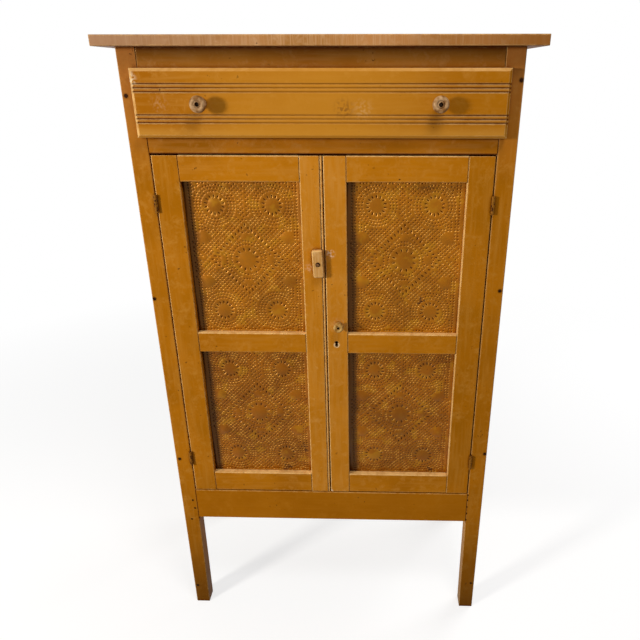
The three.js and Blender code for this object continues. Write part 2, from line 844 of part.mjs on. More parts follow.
// Assembly: the case
function buildCase() {
  const group = new THREE.Group();
  add(group, 'top_board', topBoard(), paint);
  addPair(group, 'front_post', frontPost(), paint);
  addPair(group, 'rear_post', rearPost(), paint);
  addPair(group, 'side_board', board(sideSpan, 'z'), paint);
  for (const [name, heights] of Object.entries(frontRailHeights)) {
    add(group, name, frontRail(heights), paint);
  }
  for (let i = 0; i < backBoardCount; i += 1) {
    add(group, `back_board_${i + 1}`, backBoard(i), rawWood);
  }
  const shelfFront = doorThickness + shelfFrontGap;
  const shelves = [
    ['bottom', apronTop, frontRailThickness + seatGap],
    ['lower_shelf', lowerShelfTop, shelfFront],
    ['upper_shelf', upperShelfTop, shelfFront],
  ];
  for (const [name, top, front] of shelves) {
    add(group, `${name}_board`, shelf(front), rawWood, [0, 0, top]);
    addPair(group, `${name}_cleat`, cleat(), rawWood, [0, 0, top - shelfThickness - seatGap]);
  }
  addPair(group, 'drawer_runner', drawerBearer([middleRailTop - bearerHeight, middleRailTop]), rawWood);
  addPair(group, 'drawer_kicker', drawerBearer([topRailBottom, topRailBottom + bearerHeight]), rawWood);
  for (const [name, height] of [['lower', hingeHeights[0]], ['upper', hingeHeights[1]]]) {
    addPair(group, `${name}_hinge_post_leaf`, postLeaf(), paintedIron, [hingeAcross, hingeDepth, height]);
  }
  return group;
}

// Assembly: the pieces that both doors have
function buildDoors() {
  const group = new THREE.Group();
  const tin = punchedTin();
  addPair(group, 'door_hinge_stile', hingeStile(), paint);
  for (const [name, heights] of Object.entries(doorRailHeights)) {
    addPair(group, `door_${name}`, doorRail(heights), paint);
  }
  for (const [name, height] of [['lower', tinHeights[0]], ['upper', tinHeights[1]]]) {
    addPair(group, `${name}_tin`, tin, paintedTin, [openingMiddle, tinSetback + seatGap, height]);
  }
  for (const [name, height] of [['lower', hingeHeights[0]], ['upper', hingeHeights[1]]]) {
    addPair(group, `${name}_hinge_door_leaf`, doorLeaf(), paintedIron, [hingeAcross, hingeDepth, height]);
  }
  return group;
}

// Assembly: what only one door has
function buildMeetingStiles() {
  const group = new THREE.Group();
  const plain = easedRectangle([doorNear, openingNear], [0, doorThickness]);
  add(group, 'right_door_meeting_stile', carve(meetingStile(plain), ...lockCuts()), paint);
  const beaded = carve(meetingStile(beadedStileOutline()), ...strikeCuts());
  add(group, 'left_door_meeting_stile', mirrored(beaded), paint);
  const pivot = [-(doorNear + buttonSetIn), 0, buttonHeight];
  add(group, 'turn_button', turnButton(), wornKnob, pivot).rotation.y = -buttonLean;
  add(group, 'turn_button_screw', buttonScrew(), steel, pivot);
  const knobPlace = [doorNear + doorKnobSetIn, 0, doorKnobHeight];
  add(group, 'door_knob', knob(doorKnobRadius, doorKnobLength), wornKnob, knobPlace);
  add(group, 'lock_case', lockCase(), steel);
  add(group, 'lock_bolt', box(boltSpan), steel);
  return group;
}

// Assembly: the drawer
function buildDrawer() {
  const group = new THREE.Group();
  const knobPlace = [drawerKnobSpacing / 2, drawerFace, drawerMiddle];
  add(group, 'drawer_front', drawerFront(), paint);
  addPair(group, 'drawer_side', drawerSide(), rawWood);
  add(group, 'drawer_back', drawerBack(), rawWood);
  add(group, 'drawer_bottom', box(drawerBottomSpan), rawWood);
  addPair(group, 'drawer_knob', knob(drawerKnobRadius, drawerKnobLength), wornKnob, knobPlace);
  return group;
}

const pieSafe = new THREE.Group();
pieSafe.add(buildCase(), buildDoors(), buildMeetingStiles(), buildDrawer());
const frontMost = Math.min(-topOverhang, drawerFace - drawerKnobLength);
pieSafe.position.y = -(frontMost + backFace) / 2;

export default pieSafe;
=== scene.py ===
# %% [markdown]
# # A painted pie safe
# A pie safe kept bread and pies out of the reach of flies: a cupboard whose doors have
# punched tin in place of panels, so that air passes and insects don't. This one is
# painted mustard all over. The script dresses a finished CAD model of it, which gives
# every board its place, with old paint, bare wood, iron and tin with real punch marks.

import math
import random

import bmesh
import bpy
from mathutils import Matrix, Vector, noise


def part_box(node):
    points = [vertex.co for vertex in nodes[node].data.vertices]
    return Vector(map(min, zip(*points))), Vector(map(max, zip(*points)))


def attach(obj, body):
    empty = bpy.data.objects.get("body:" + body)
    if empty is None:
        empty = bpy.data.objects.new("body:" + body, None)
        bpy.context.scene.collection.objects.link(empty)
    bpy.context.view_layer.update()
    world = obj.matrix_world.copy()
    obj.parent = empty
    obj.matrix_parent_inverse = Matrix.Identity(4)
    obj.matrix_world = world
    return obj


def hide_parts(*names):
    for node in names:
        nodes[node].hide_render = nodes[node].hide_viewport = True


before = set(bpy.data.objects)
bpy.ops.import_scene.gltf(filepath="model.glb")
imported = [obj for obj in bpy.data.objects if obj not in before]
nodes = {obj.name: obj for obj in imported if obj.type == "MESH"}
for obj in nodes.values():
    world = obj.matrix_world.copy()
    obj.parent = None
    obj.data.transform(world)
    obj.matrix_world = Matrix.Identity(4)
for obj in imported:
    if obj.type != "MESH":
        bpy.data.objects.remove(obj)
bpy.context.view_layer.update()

# %% [markdown]
# ## Sizes
# Blender works in metres and a cabinet maker thinks in millimetres, so one value turns
# one into the other. Each size below belongs to a piece that this script adds.

# %% Units and the planes that pieces sit on
MM = 0.001
POST_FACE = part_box("right_front_post")[0].y
DRAWER_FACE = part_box("drawer_front")[0].y
print("post face at y =", round(POST_FACE / MM, 1), "mm")

# %% [markdown]
# ## Colours
# Colours are written as the hex values that a colour picker gives, and those are sRGB.
# Shaders add and multiply light, so they want linear values. One function turns one
# into the other, and no colour goes into a shader without it.

# %% From sRGB hex to linear
def linear(hex_colour, alpha=1.0):
    """The linear RGBA of a colour such as "B87820"."""
    parts = [int(hex_colour[i:i + 2], 16) / 255 for i in (0, 2, 4)]
    curve = [c / 12.92 if c <= 0.04045 else ((c + 0.055) / 1.055) ** 2.4 for c in parts]
    return (*curve, alpha)


print("mustard is", [round(c, 3) for c in linear("B87820")[:3]], "in linear light")

# %% [markdown]
# ## One helper for shader nodes
# A material is a small graph. This adds one node with its settings. Each input is a
# plain value or comes from another node, and then the two are linked.

# %% Add a node
def add(tree, kind, inputs=None, **settings):
    """Adds a node. An input is a value, an output, or a node, which gives its first output in use."""
    made = tree.nodes.new("ShaderNode" + kind)
    for name, value in settings.items():
        setattr(made, name, value)
    for name, value in (inputs or {}).items():
        if isinstance(value, bpy.types.Node):
            value = next(output for output in value.outputs if output.enabled)
        if isinstance(value, bpy.types.NodeSocket):
            tree.links.new(value, made.inputs[name])
        else:
            made.inputs[name].default_value = value
    return made


def new_material(name):
    """An empty node material, its tree, and the socket that gives a point's place on the cabinet."""
    material = bpy.data.materials.new(name)
    material.use_nodes = True
    tree = material.node_tree
    tree.nodes.clear()
    return material, tree, add(tree, "TexCoord").outputs["Object"]


print("materials start empty, with one helper to fill them")

# %% [markdown]
# ## Coat over coat
# A painter lays one coat over another, and dirt, wear and stains are coats too. So each
# material below makes a list of coats, from the first to the last. A coat is a share,
# from 0 to 1 at each point, and a colour. One loop lays them all with Mix nodes, whose
# two colours are inputs 6 and 7.

# %% Lay the coats
MIX_UNDER, MIX_OVER = 6, 7


def coated(tree, first, coats):
    """The colour once every (share, colour) in coats is laid over the colour called first."""
    laid = linear(first)
    for share, colour in coats:
        laid = add(tree, "Mix", {0: share, MIX_UNDER: laid, MIX_OVER: linear(colour)}, data_type="RGBA")
    return laid


def hollow_dirt_and_shade(tree, distance, start, thickest, strength):
    """Dirt and painted shade in hollows, as a share. start and thickest say how open, from 0 to 1, a place
    is there.
    """
    openness = add(tree, "AmbientOcclusion", {"Distance": distance}, samples=6).outputs["AO"]
    return add(tree, "MapRange", {
        "Value": openness, "From Min": start, "From Max": thickest, "To Max": strength})


def surfaced(material, relief, surface):
    """Ends a material with a relief, 0.3 mm deep if it doesn't say otherwise, and a surface."""
    tree = material.node_tree
    bump = add(tree, "Bump", {"Distance": 0.3 * MM, **relief})
    shader = add(tree, "BsdfPrincipled", {"Normal": bump, **surface})
    add(tree, "OutputMaterial", {"Surface": shader})
    return material


print("two colours go into inputs", MIX_UNDER, "and", MIX_OVER, "of a Mix node")

# %% [markdown]
# ## Camera
# The photograph was taken from a little above the middle of the cabinet, close to it
# and looking down, so the uprights lean together towards the floor. The lens and place
# below were fitted to the cabinet's edges. The picture was cropped off centre, and a
# small shift of the lens gives that crop without turning the camera.

# %% Set the camera
CAMERA_PLACE = (0.1078, -1.3545, 1.3554)
CAMERA_LENS, CAMERA_SHIFT = 32.84, -0.0656
LOOKS_DOWN, LOOKS_LEFT = 0.4003, 0.0248


def shown(name, data):
    """An object with this data, put into the scene."""
    made = bpy.data.objects.new(name, data)
    bpy.context.scene.collection.objects.link(made)
    return made


camera = shown("camera", bpy.data.cameras.new("camera"))
camera.data.sensor_width = 36
camera.data.lens = CAMERA_LENS
camera.data.shift_x = CAMERA_SHIFT
camera.location = CAMERA_PLACE
camera.rotation_euler = (math.pi / 2 - LOOKS_DOWN, 0, LOOKS_LEFT)
bpy.context.scene.camera = camera
print("camera", round(CAMERA_LENS, 1), "mm, looking", round(math.degrees(LOOKS_DOWN)), "degrees down")

# %% [markdown]
# ## Old oil paint on wood
# The cabinet has a thick coat of mustard paint, brushed on along each board. Age has
# rubbed it pale on the edges, and left brown dirt in every corner and gap; in the corners
# the brown is painted shade as well. Faces that look towards the lamps are painted pale,
# as worn paint and painted highlight together. Brush marks are a noise stretched along
# the board. A Bevel node finds the edges, an Ambient Occlusion node finds the corners,
# and finer noises break both up.

# %% Directions of the brush
BRUSH_WIDTH = 7 * MM
BRUSH_LENGTH = 90 * MM
along_brush = {"x": 0, "y": 1, "z": 2}


def stretched(grain, width, length):
    """A Mapping scale that makes a noise as wide as width and as long as length."""
    scale = [1 / width] * 3
    scale[along_brush[grain]] = 1 / length
    return scale


print("brush marks along z:", [round(s) for s in stretched("z", BRUSH_WIDTH, BRUSH_LENGTH)])

# %% Coats that the brush left
PATCH_SIZE, BLOTCH_SIZE = 120 * MM, 20 * MM


def brushed_coats(tree, place, grain, brush, streaks, main, pale):
    """The first coats, and two noises that later steps share: large patches and brush strokes."""
    patches = add(tree, "TexNoise", {"Vector": place, "Scale": 1 / PATCH_SIZE, "Detail": 6.0})
    patch_share = add(tree, "MapRange", {"Value": patches, "From Min": 0.34, "From Max": 0.62})
    blotches = add(tree, "TexNoise", {
        "Vector": place, "Scale": 1 / BLOTCH_SIZE, "Detail": 8.0, "Roughness": 0.7, "Distortion": 0.3})
    blotch_share = add(tree, "MapRange", {
        "Value": blotches, "From Min": 0.50, "From Max": 0.70, "To Max": 0.65})
    mapped = add(tree, "Mapping", {"Vector": place, "Scale": stretched(grain, brush, BRUSH_LENGTH)})
    strokes = add(tree, "TexNoise", {"Vector": mapped, "Scale": 1.0, "Detail": 5.0})
    stroke_share = add(tree, "MapRange", {
        "Value": strokes, "From Min": 0.46, "From Max": 0.74, "To Max": streaks})
    light = add(tree, "Math", {0: blotch_share, 1: stroke_share}, operation="MAXIMUM")
    return [(patch_share, main), (light, pale)], patches, strokes


print("patches", PATCH_SIZE / MM, "mm and blotches", BLOTCH_SIZE / MM, "mm across")

# %% Dirt along joints, and dirt with painted shade in grooves
JOINT_LINE = 1.6 * MM


def apart(tree, value, line):
    """How far value is from line, on either side."""
    away = add(tree, "Math", {0: value, 1: line}, operation="SUBTRACT")
    return add(tree, "Math", {0: away}, operation="ABSOLUTE")


def joint_lines(tree, parts, joints, grooves, rubbed):
    """Shares of dark lines: soiled joints, and grooves soiled and darkened with painted shade. Beside a
    joint nothing can rub, so rubbed comes back lower there.
    """
    across = add(tree, "Math", {0: parts.outputs["X"]}, operation="ABSOLUTE")
    lines = []
    for x, low, high, strength in joints:
        beside = apart(tree, across, x)
        within = add(tree, "Math", {
            0: parts.outputs["Z"], 1: (low + high) / 2, 2: (high - low) / 2}, operation="COMPARE")
        kept_off = add(tree, "MapRange", {"Value": beside, "From Min": 5 * MM, "From Max": 3 * MM})
        sheltered = add(tree, "Math", {0: kept_off, 1: within}, operation="MULTIPLY")
        exposed = add(tree, "Math", {0: sheltered, 1: -strength, 2: 1.0}, operation="MULTIPLY_ADD")
        rubbed = add(tree, "Math", {0: rubbed, 1: exposed}, operation="MULTIPLY")
        line = add(tree, "MapRange", {
            "Value": beside, "From Min": JOINT_LINE, "From Max": 0.4 * MM, "To Max": strength})
        lines.append(add(tree, "Math", {0: line, 1: within}, operation="MULTIPLY"))
    for z, half_width in grooves:
        lines.append(add(tree, "MapRange", {
            "Value": apart(tree, parts.outputs["Z"], z), "From Min": half_width,
            "From Max": 0.3 * half_width, "To Max": 0.9}))
    return rubbed, lines


print("dirt reaches", JOINT_LINE / MM, "mm from a joint")

# %% Chips and marks
PAINT_MAIN, PAINT_PALE, PAINT_DEEP = "BF7610", "CB8A36", "AD680A"
# Pale worn paint, also laid as a painted highlight; brown dirt with painted shade; dark chips
PAINT_WORN_AND_LIT, PAINT_DIRT_AND_SHADE, PAINT_CHIP = "F8C880", "5C1C02", "2E1408"


def mark_coats(tree, place, marks):
    """Small dark chips in a few places, and then one coat for each mark."""
    chip_noise, few, flecks = [
        add(tree, "TexNoise", {"Vector": place, "Scale": 1 / (size * MM), "Detail": detail})
        for size, detail in ((7, 2.0), (60, 0.0), (5, 4.0))]
    chips = add(tree, "MapRange", {"Value": chip_noise, "From Min": 0.71, "From Max": 0.75, "To Max": 0.8})
    few_share = add(tree, "MapRange", {"Value": few, "From Min": 0.52, "From Max": 0.62})
    chipped = add(tree, "Math", {0: chips, 1: few_share}, operation="MULTIPLY")
    fleck_share = add(tree, "MapRange", {"Value": flecks, "From Min": 0.44, "From Max": 0.58})
    coats = [(chipped, PAINT_CHIP)]
    for centre, inner, outer, colour, strength, broken_up in marks:
        away = add(tree, "VectorMath", {0: place, 1: centre}, operation="DISTANCE")
        share = add(tree, "MapRange", {
            "Value": away, "From Min": outer, "From Max": inner, "To Max": strength},
            interpolation_type="SMOOTHSTEP")
        if broken_up:
            share = add(tree, "Math", {0: share, 1: fleck_share}, operation="MULTIPLY")
        coats.append((share, colour))
    return coats


print("mustard", PAINT_MAIN, "from", PAINT_DEEP, "to", PAINT_PALE)

# %% The paint
def painted_wood(name, grain, main=PAINT_MAIN, pale=PAINT_PALE, deep=PAINT_DEEP, wear=(0.22, 0.75),
                 corner_dirt_and_shade=(0.84, 0.42, 0.92), brush=BRUSH_WIDTH, streaks=0.4, rubbed_and_lit_sides=(), joints=(),
                 grooves=(), fades=(), marks=()):
    """Mustard oil paint.

    wear: how pale the arrises are, from least to most
    corner_dirt_and_shade: how open, from 0 to 1, a corner is where soiling and painted shade start and are
    thickest, and their strength
    streaks: how strongly the brush marks show
    rubbed_and_lit_sides: (direction, strength) of faces painted pale all over, as worn paint and as a
    painted highlight on faces towards the lamps
    joints: (distance from the middle, lowest z, highest z, strength) of lines of dirt between two boards
    grooves: (z, half width) of level dark lines, soiling and painted shade together
    fades: (axis, start, end, colour, strength) of slow changes along the piece
    marks: (centre, inner radius, outer radius, colour, strength, broken up or not)
    """
    material, tree, place = new_material(name)
    parts = add(tree, "SeparateXYZ", {0: place})
    coats, patches, strokes = brushed_coats(tree, place, grain, brush, streaks, main, pale)
    for axis, start, end, colour, strength in fades:
        share = add(tree, "MapRange", {
            "Value": parts.outputs[axis], "From Min": start, "From Max": end, "To Max": strength})
        coats.append((share, colour))

    # Edges rubbed pale, in broken patches
    rounded = add(tree, "Bevel", {"Radius": 2.6 * MM}, samples=4)
    facing = add(tree, "NewGeometry").outputs["Normal"]
    sameness = add(tree, "VectorMath", {0: rounded, 1: facing}, operation="DOT_PRODUCT")
    edge = add(tree, "MapRange", {"Value": sameness, "From Min": 0.99, "From Max": 0.90})
    rub_noise = add(tree, "TexNoise", {"Vector": place, "Scale": 1 / (14 * MM), "Detail": 5.0})
    broken = add(tree, "MapRange", {
        "Value": rub_noise, "From Min": 0.36, "From Max": 0.58, "To Min": wear[0], "To Max": wear[1]})
    rubbed = add(tree, "Math", {0: edge, 1: broken}, operation="MULTIPLY")
    rubbed, lines = joint_lines(tree, parts, joints, grooves, rubbed)
    coats.append((rubbed, PAINT_WORN_AND_LIT))

    # Brown dirt and painted shade in the corners and grooves, and dirt along the joints
    dirt_and_shade = hollow_dirt_and_shade(tree, 12 * MM, *corner_dirt_and_shade)
    for line in lines:
        dirt_and_shade = add(tree, "Math", {0: dirt_and_shade, 1: line}, operation="MAXIMUM")
    coats.append((dirt_and_shade, PAINT_DIRT_AND_SHADE))

    # Faces that look one way, painted pale all over: worn paint, and a painted highlight on
    # faces that look towards the lamps
    patchy = add(tree, "MapRange", {"Value": rub_noise, "From Min": 0.36, "From Max": 0.55, "To Min": 0.6})
    for direction, strength in rubbed_and_lit_sides:
        towards = add(tree, "VectorMath", {0: rounded, 1: direction}, operation="DOT_PRODUCT")
        share = add(tree, "MapRange", {
            "Value": towards, "From Min": 0.20, "From Max": 0.62, "To Max": strength})
        share = add(tree, "Math", {0: share, 1: patchy}, operation="MULTIPLY")
        coats.append((share, PAINT_WORN_AND_LIT))
    coats += mark_coats(tree, place, marks)

    # Satin where the coat is whole, and dull in the corners and joints, where dirt and painted shade lie
    gloss = add(tree, "MapRange", {
        "Value": patches, "From Min": 0.3, "From Max": 0.7, "To Min": 0.40, "To Max": 0.54})
    gloss = add(tree, "Math", {0: dirt_and_shade, 1: 0.60, 2: gloss}, operation="MULTIPLY_ADD")
    return surfaced(material, {"Height": strokes, "Strength": 0.4, "Normal": rounded}, {
        "Base Color": coated(tree, deep, coats), "Roughness": gloss, "IOR": 1.48,
        "Specular IOR Level": 0.03, "Specular Tint": linear("FFDCA8")})


print("one function paints every board")

# %% Where the paint is marked
# Directions of faces that look towards the lamps, which some paints below paint pale
UP, LEFT = (0, 0, 1), (-1, 0, 0)
POST_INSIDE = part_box("right_front_post")[0].x
CASE_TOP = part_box("right_front_post")[1].z
OPENING_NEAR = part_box("right_door_meeting_stile")[1].x
OPENING_FAR, DOOR_SIDE = (corner.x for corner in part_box("right_door_hinge_stile"))
DOOR_OUTSIDE = (DOOR_SIDE + POST_INSIDE) / 2
IRON_BLACK = "1C0A04"
beside_rails = [(low.z, high.z) for low, high in (
    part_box(f"right_door_{name}_rail") for name in ("bottom", "middle", "top"))]
DOOR_BOTTOM, DOOR_TOP = beside_rails[0][0], beside_rails[2][1]
rail_ends = [(x, 0, CASE_TOP, strength) for x, strength in ((OPENING_NEAR, 0.2), (OPENING_FAR, 0.45))]

# Millimetres: nails as (x, z), and small dings and the crack beside the apron as (x, z, outer radius)
nails = [(-373, 1315), (-376, 900), (-372, 477), (376, 1343), (374, 925), (376, 505)]
NAIL_STAIN = 7
dings = [(-354, 350, 4), (-351, 325, 4), (-363, 289, 4), (-373, 58, 6), (373, 85, 5)]
crack = [(343.5, z, 4) for z in (302, 322, 343, 364, 380)]
post_marks = [(Vector((x * MM, POST_FACE, z * MM)), 1.5 * MM, size * MM, IRON_BLACK, 1.0, False)
              for x, z, size in dings + crack + [(x, z, NAIL_STAIN) for x, z in nails]]
print(len(post_marks), "marks on the posts")

# %% Paint for boards that are alike
# Oil paint brushed on sawn pine: satin, with fine ridges along the board and pale arrises
paint_upright = painted_wood("mustard_paint_upright", "z")
# The door rails' upward faces are painted pale: worn paint and a painted highlight from the light above
paint_door_rail = painted_wood("mustard_paint_door_rail", "x", rubbed_and_lit_sides=[(UP, 0.95)], joints=rail_ends)
# The posts' paint darkens towards the feet, painted shade where the light falls off near
# the floor, and turns a greyer, pinker brown towards the top, a painted sheen; faces that
# look left are painted a little pale
paint_post = painted_wood(
    "mustard_paint_post", "z", main="B8700E", pale="C68834", deep="A66408", rubbed_and_lit_sides=[(LEFT, 0.25)],
    joints=[(POST_INSIDE, 290 * MM, DOOR_BOTTOM - 3 * MM, 0.8), (POST_INSIDE, 1205 * MM, 1300 * MM, 0.8),
            (POST_INSIDE, 1300 * MM, CASE_TOP, 0.1), (DOOR_OUTSIDE, DOOR_BOTTOM, DOOR_TOP, 0.6)],
    fades=[("Z", 330 * MM, 20 * MM, "4E2C08", 0.70), ("Z", 1150 * MM, 1390 * MM, "A2683A", 0.6)],
    marks=post_marks)
# The same paint a little darker, as painted shade away from the sheen at the middle of the
# front and as on boards that hands touch less; faces that look left are painted pale
paint_hinge_stile = painted_wood(
    "mustard_paint_hinge_stile", "z", main="B8700E", pale="C68834", deep="A86608",
    rubbed_and_lit_sides=[(LEFT, 0.85)], joints=[
        *[(OPENING_FAR, low, high, 0.45) for low, high in beside_rails], (DOOR_OUTSIDE, 0, CASE_TOP, 0.6)])
# The middle rail is darker, and darker still towards its top: painted shadow under the drawer's lip. A dark
# line along its foot at the door gap is dirt and painted shade
paint_middle_rail = painted_wood(
    "mustard_paint_middle_rail", "x", main="B46E16", pale="C08440", deep="A0600C",
    joints=[(POST_INSIDE, 0, CASE_TOP, 0.8)], grooves=[(1208 * MM, 3.5 * MM)],
    fades=[("Z", 1232 * MM, 1251 * MM, "5E300A", 0.7)])
paint_apron = painted_wood(
    "mustard_paint_apron", "x", main="B26C0C", pale="B8741A", deep="A86406",
    corner_dirt_and_shade=(0.84, 0.42, 0.35), joints=[(POST_INSIDE, 0, CASE_TOP, 0.8)])
# The top rail darkens towards the top board: painted shade under the board's overhang
paint_top_rail = painted_wood(
    "mustard_paint_top_rail", "x", main="BC7C2C", pale="C89050", deep="AE6C1C",
    joints=[(POST_INSIDE, 0, CASE_TOP, 0.2)], fades=[("Z", 1364 * MM, 1399 * MM, "2A1004", 0.85)])
print("paint for posts, stiles and rails")

# %% [markdown]
# ## Paint with a story
# Some pieces need their own marks. The turn button has scraped both meeting stiles,
# fingers have rubbed the paint round the knobs, and the key has chipped the edge of its
# hole. The front edge of the top board is a paler grey brown at its left end, a painted
# sheen, and darker towards its right end, painted shade.

# %% Paint for the pieces with marks
KEYHOLE = Vector((0.0216, POST_FACE, 0.793))
DOOR_KNOB = Vector((0.027, POST_FACE, 0.842))
SCUFF_RIGHT = Vector((0.0125, POST_FACE, 1.0045))
SCUFF_LEFT = Vector((-0.0335, POST_FACE, 0.9735))
DOOR_FOOT = Vector((0.0003, POST_FACE, 0.3865))
beside_near = [(OPENING_NEAR, low, high, 0.2) for low, high in beside_rails]
meeting_paint = dict(
    grain="z", main="CC8220", pale="D69848", deep="BE7612", wear=(0.35, 1.0), rubbed_and_lit_sides=[(LEFT, 0.9)],
    joints=beside_near)

# Oil paint that fingers keep clean and thin, with pale scrapes. It is brighter than the
# rest, partly as a painted sheen at the middle of the front, and faces that look left are
# painted pale as a painted highlight
paint_left_meeting = painted_wood("mustard_paint_button_stile", **meeting_paint, marks=[
    (SCUFF_LEFT, 2 * MM, 13 * MM, "DCAA80", 0.8, True)])
paint_right_meeting = painted_wood("mustard_paint_lock_stile", **meeting_paint, marks=[
    (SCUFF_RIGHT, 3 * MM, 12 * MM, "F0CCAA", 1.0, True),
    (KEYHOLE, 5.5 * MM, 8 * MM, "ECC48C", 0.95, False),
    # A dark ring that widens the keyhole: painted shade of the hole, and dirt on its chipped edge
    (KEYHOLE, 2.8 * MM, 4.2 * MM, "1A0C04", 1.0, False),
    (DOOR_KNOB, 10 * MM, 22 * MM, "D4A064", 0.35, True),
    (DOOR_FOOT, 2 * MM, 8 * MM, "F0D0A8", 1.0, False)])
print("paint for the meeting stiles")

# %% Paint for the drawer, the top and the turn button
reed_grooves = [z * MM for z in (1267.5, 1274.5, 1281.5, 1322.5, 1329.5, 1336.5)]
# Millimetres, x and z: the bright middle, which is a painted sheen, the hand marks, and
# the chipped corner of the drawer front
drawer_marks = [(Vector((x * MM, DRAWER_FACE, z * MM)), inner * MM, outer * MM, colour, strength, broken_up)
                for x, z, inner, outer, colour, strength, broken_up in (
                    (0, 1300, 30, 330, "C88628", 0.75, False), (-303, 1301, 2, 24, "DCAE80", 0.22, True),
                    (45, 1293, 2, 26, "8E5A20", 0.75, True), (80, 1291, 2, 28, "DCAE70", 0.35, True),
                    (-357, 1345, 4, 20, "F4DAB0", 1.0, True))]
# Oil paint on a moulded front: hands wear the bevels and reeds pale, strongly enough to be
# a painted highlight too, and faces that look up and to the left are painted pale as a
# painted highlight. Dirt and painted shade draw the reeds as dark lines, and the front
# darkens towards its right end, painted shade where the window's light falls off
paint_drawer = painted_wood(
    "mustard_paint_drawer", "x", main="B87416", pale="C68A3A", deep="A8640C", wear=(0.55, 1.0),
    rubbed_and_lit_sides=[(UP, 0.5), (LEFT, 0.75)], grooves=[(z, 2.7 * MM) for z in reed_grooves],
    fades=[("X", 60 * MM, 360 * MM, "AA6808", 0.6), ("Z", 1264 * MM, 1250 * MM, "D69C44", 0.4)],
    marks=drawer_marks)
# Thin paint over the saw marks of the board's edge: upright streaks, a greyer brown at
# the left end that is a painted sheen, and darker towards the right end, painted shade
paint_top = painted_wood(
    "mustard_paint_top", "z", main="C48850", pale="D6AA7C", deep="A87238", brush=3 * MM, streaks=0.7,
    fades=[("X", -60 * MM, -400 * MM, "A67E60", 0.8), ("X", 60 * MM, 380 * MM, "8C5620", 0.85)])
# A whittled block of pale wood, bare again after years of turning: light corners, open
# grain, and faces that look up and to the left painted pale, a painted highlight
button_wood = painted_wood(
    "worn_button_wood", "z", main="DCA45C", pale="ECC084", deep="C48C48", wear=(0.4, 1.0), brush=3 * MM,
    rubbed_and_lit_sides=[(UP, 0.7), (LEFT, 0.7)])
print("paint for the drawer, the top and the turn button")

# %% [markdown]
# ## Bare wood
# Inside and behind, the boards were never painted. Softwood shows growth lines a few
# millimetres apart that run along the board and wander a little. A noise stretched
# forty times along the board gives them, with another for stains. The back boards are
# nailed at both ends, and those heads and the two seams are flat dark coats too, because
# the boards' rear face is the cabinet's outermost plane.

# %% Nails and seams of the back
BACK_NAIL_X, BACK_NAIL_Z, BACK_NAIL_PITCH = 362 * MM, 341 * MM, 126.75 * MM
BACK_BOTTOM, BACK_BOARD_PITCH = 296 * MM, 368 * MM


def back_marks(tree, place):
    """A share that is high on the heads of the back's nails and along its seams."""
    parts = add(tree, "SeparateXYZ", {0: place})
    across = add(tree, "Math", {0: parts.outputs["X"]}, operation="ABSOLUTE")
    across = add(tree, "Math", {0: across, 1: BACK_NAIL_X}, operation="SUBTRACT")
    from_middle = []
    for start, pitch in ((BACK_NAIL_Z - BACK_NAIL_PITCH / 2, BACK_NAIL_PITCH),
                         (BACK_BOTTOM, BACK_BOARD_PITCH)):
        raised = add(tree, "Math", {0: parts.outputs["Z"], 1: start}, operation="SUBTRACT")
        step = add(tree, "Math", {0: raised, 1: pitch}, operation="FLOORED_MODULO")
        from_middle.append(add(tree, "Math", {0: step, 1: pitch / 2}, operation="SUBTRACT"))
    flat = add(tree, "CombineXYZ", {"X": across, "Z": from_middle[0]})
    away = add(tree, "VectorMath", {0: flat}, operation="LENGTH")
    head = add(tree, "MapRange", {"Value": away, "From Min": 4.2 * MM, "From Max": 3.4 * MM, "To Max": 0.9})
    off_middle = add(tree, "Math", {0: from_middle[1]}, operation="ABSOLUTE")
    seam = add(tree, "MapRange", {"Value": off_middle, "From Min": BACK_BOARD_PITCH / 2 - 2.6 * MM,
        "From Max": BACK_BOARD_PITCH / 2 - 1.4 * MM, "To Max": 0.85})
    return add(tree, "Math", {0: head, 1: seam}, operation="MAXIMUM")


print("back nails every", BACK_NAIL_PITCH / MM, "mm")

# %% Unpainted boards
GROWTH_LINE = 7 * MM


def bare_wood(name, grain, pale, dark, nailed=False):
    """Pine that has darkened unpainted. nailed adds what shows on the back."""
    material, tree, place = new_material(name)
    mapped = add(tree, "Mapping", {
        "Vector": place, "Scale": stretched(grain, GROWTH_LINE, 40 * GROWTH_LINE)})
    lines = add(tree, "TexNoise", {
        "Vector": mapped, "Scale": 1.0, "Detail": 4.0, "Roughness": 0.6, "Distortion": 0.6})
    line_share = add(tree, "MapRange", {"Value": lines, "From Min": 0.38, "From Max": 0.68, "To Max": 0.8})
    stains = add(tree, "TexNoise", {"Vector": place, "Scale": 1 / (130 * MM), "Detail": 5.0})
    stain_share = add(tree, "MapRange", {
        "Value": stains, "From Min": 0.45, "From Max": 0.75, "To Max": 0.45})
    coats = [(line_share, dark), (stain_share, "6E4A28")]
    if nailed:
        coats.append((back_marks(tree, place), "24140C"))
    return surfaced(material, {"Height": line_share, "Strength": 0.4}, {
        "Base Color": coated(tree, pale, coats), "Roughness": 0.74, "Specular IOR Level": 0.2})


# Planed pine, dry and toned by air: matt, with soft brown lines and no shine
pine = {grain: bare_wood(f"aged_pine_{grain}", grain, "B8935F", "8C6539") for grain in "xy"}
back_pine = bare_wood("aged_pine_back", "x", "BE9462", "94683C", nailed=True)
middle_back_pine = bare_wood("aged_pine_back_middle", "x", "AC8050", "7E5630", nailed=True)
print("pine for", ", ".join(pine), "and the back")

# %% [markdown]
# ## Worn wood and iron
# The knobs are turned from wood and were painted with the rest. Hands have worn most of
# the paint away, so the rims are pale, and the hollows are dark with dirt and painted
# shade. The hinges are painted over iron, and the paint has worn through on the knuckles.
# The nails, screws and lock are dark with old rust. All are one graph: a noise lays a
# second colour in patches, and dirt with painted shade darkens the hollows.

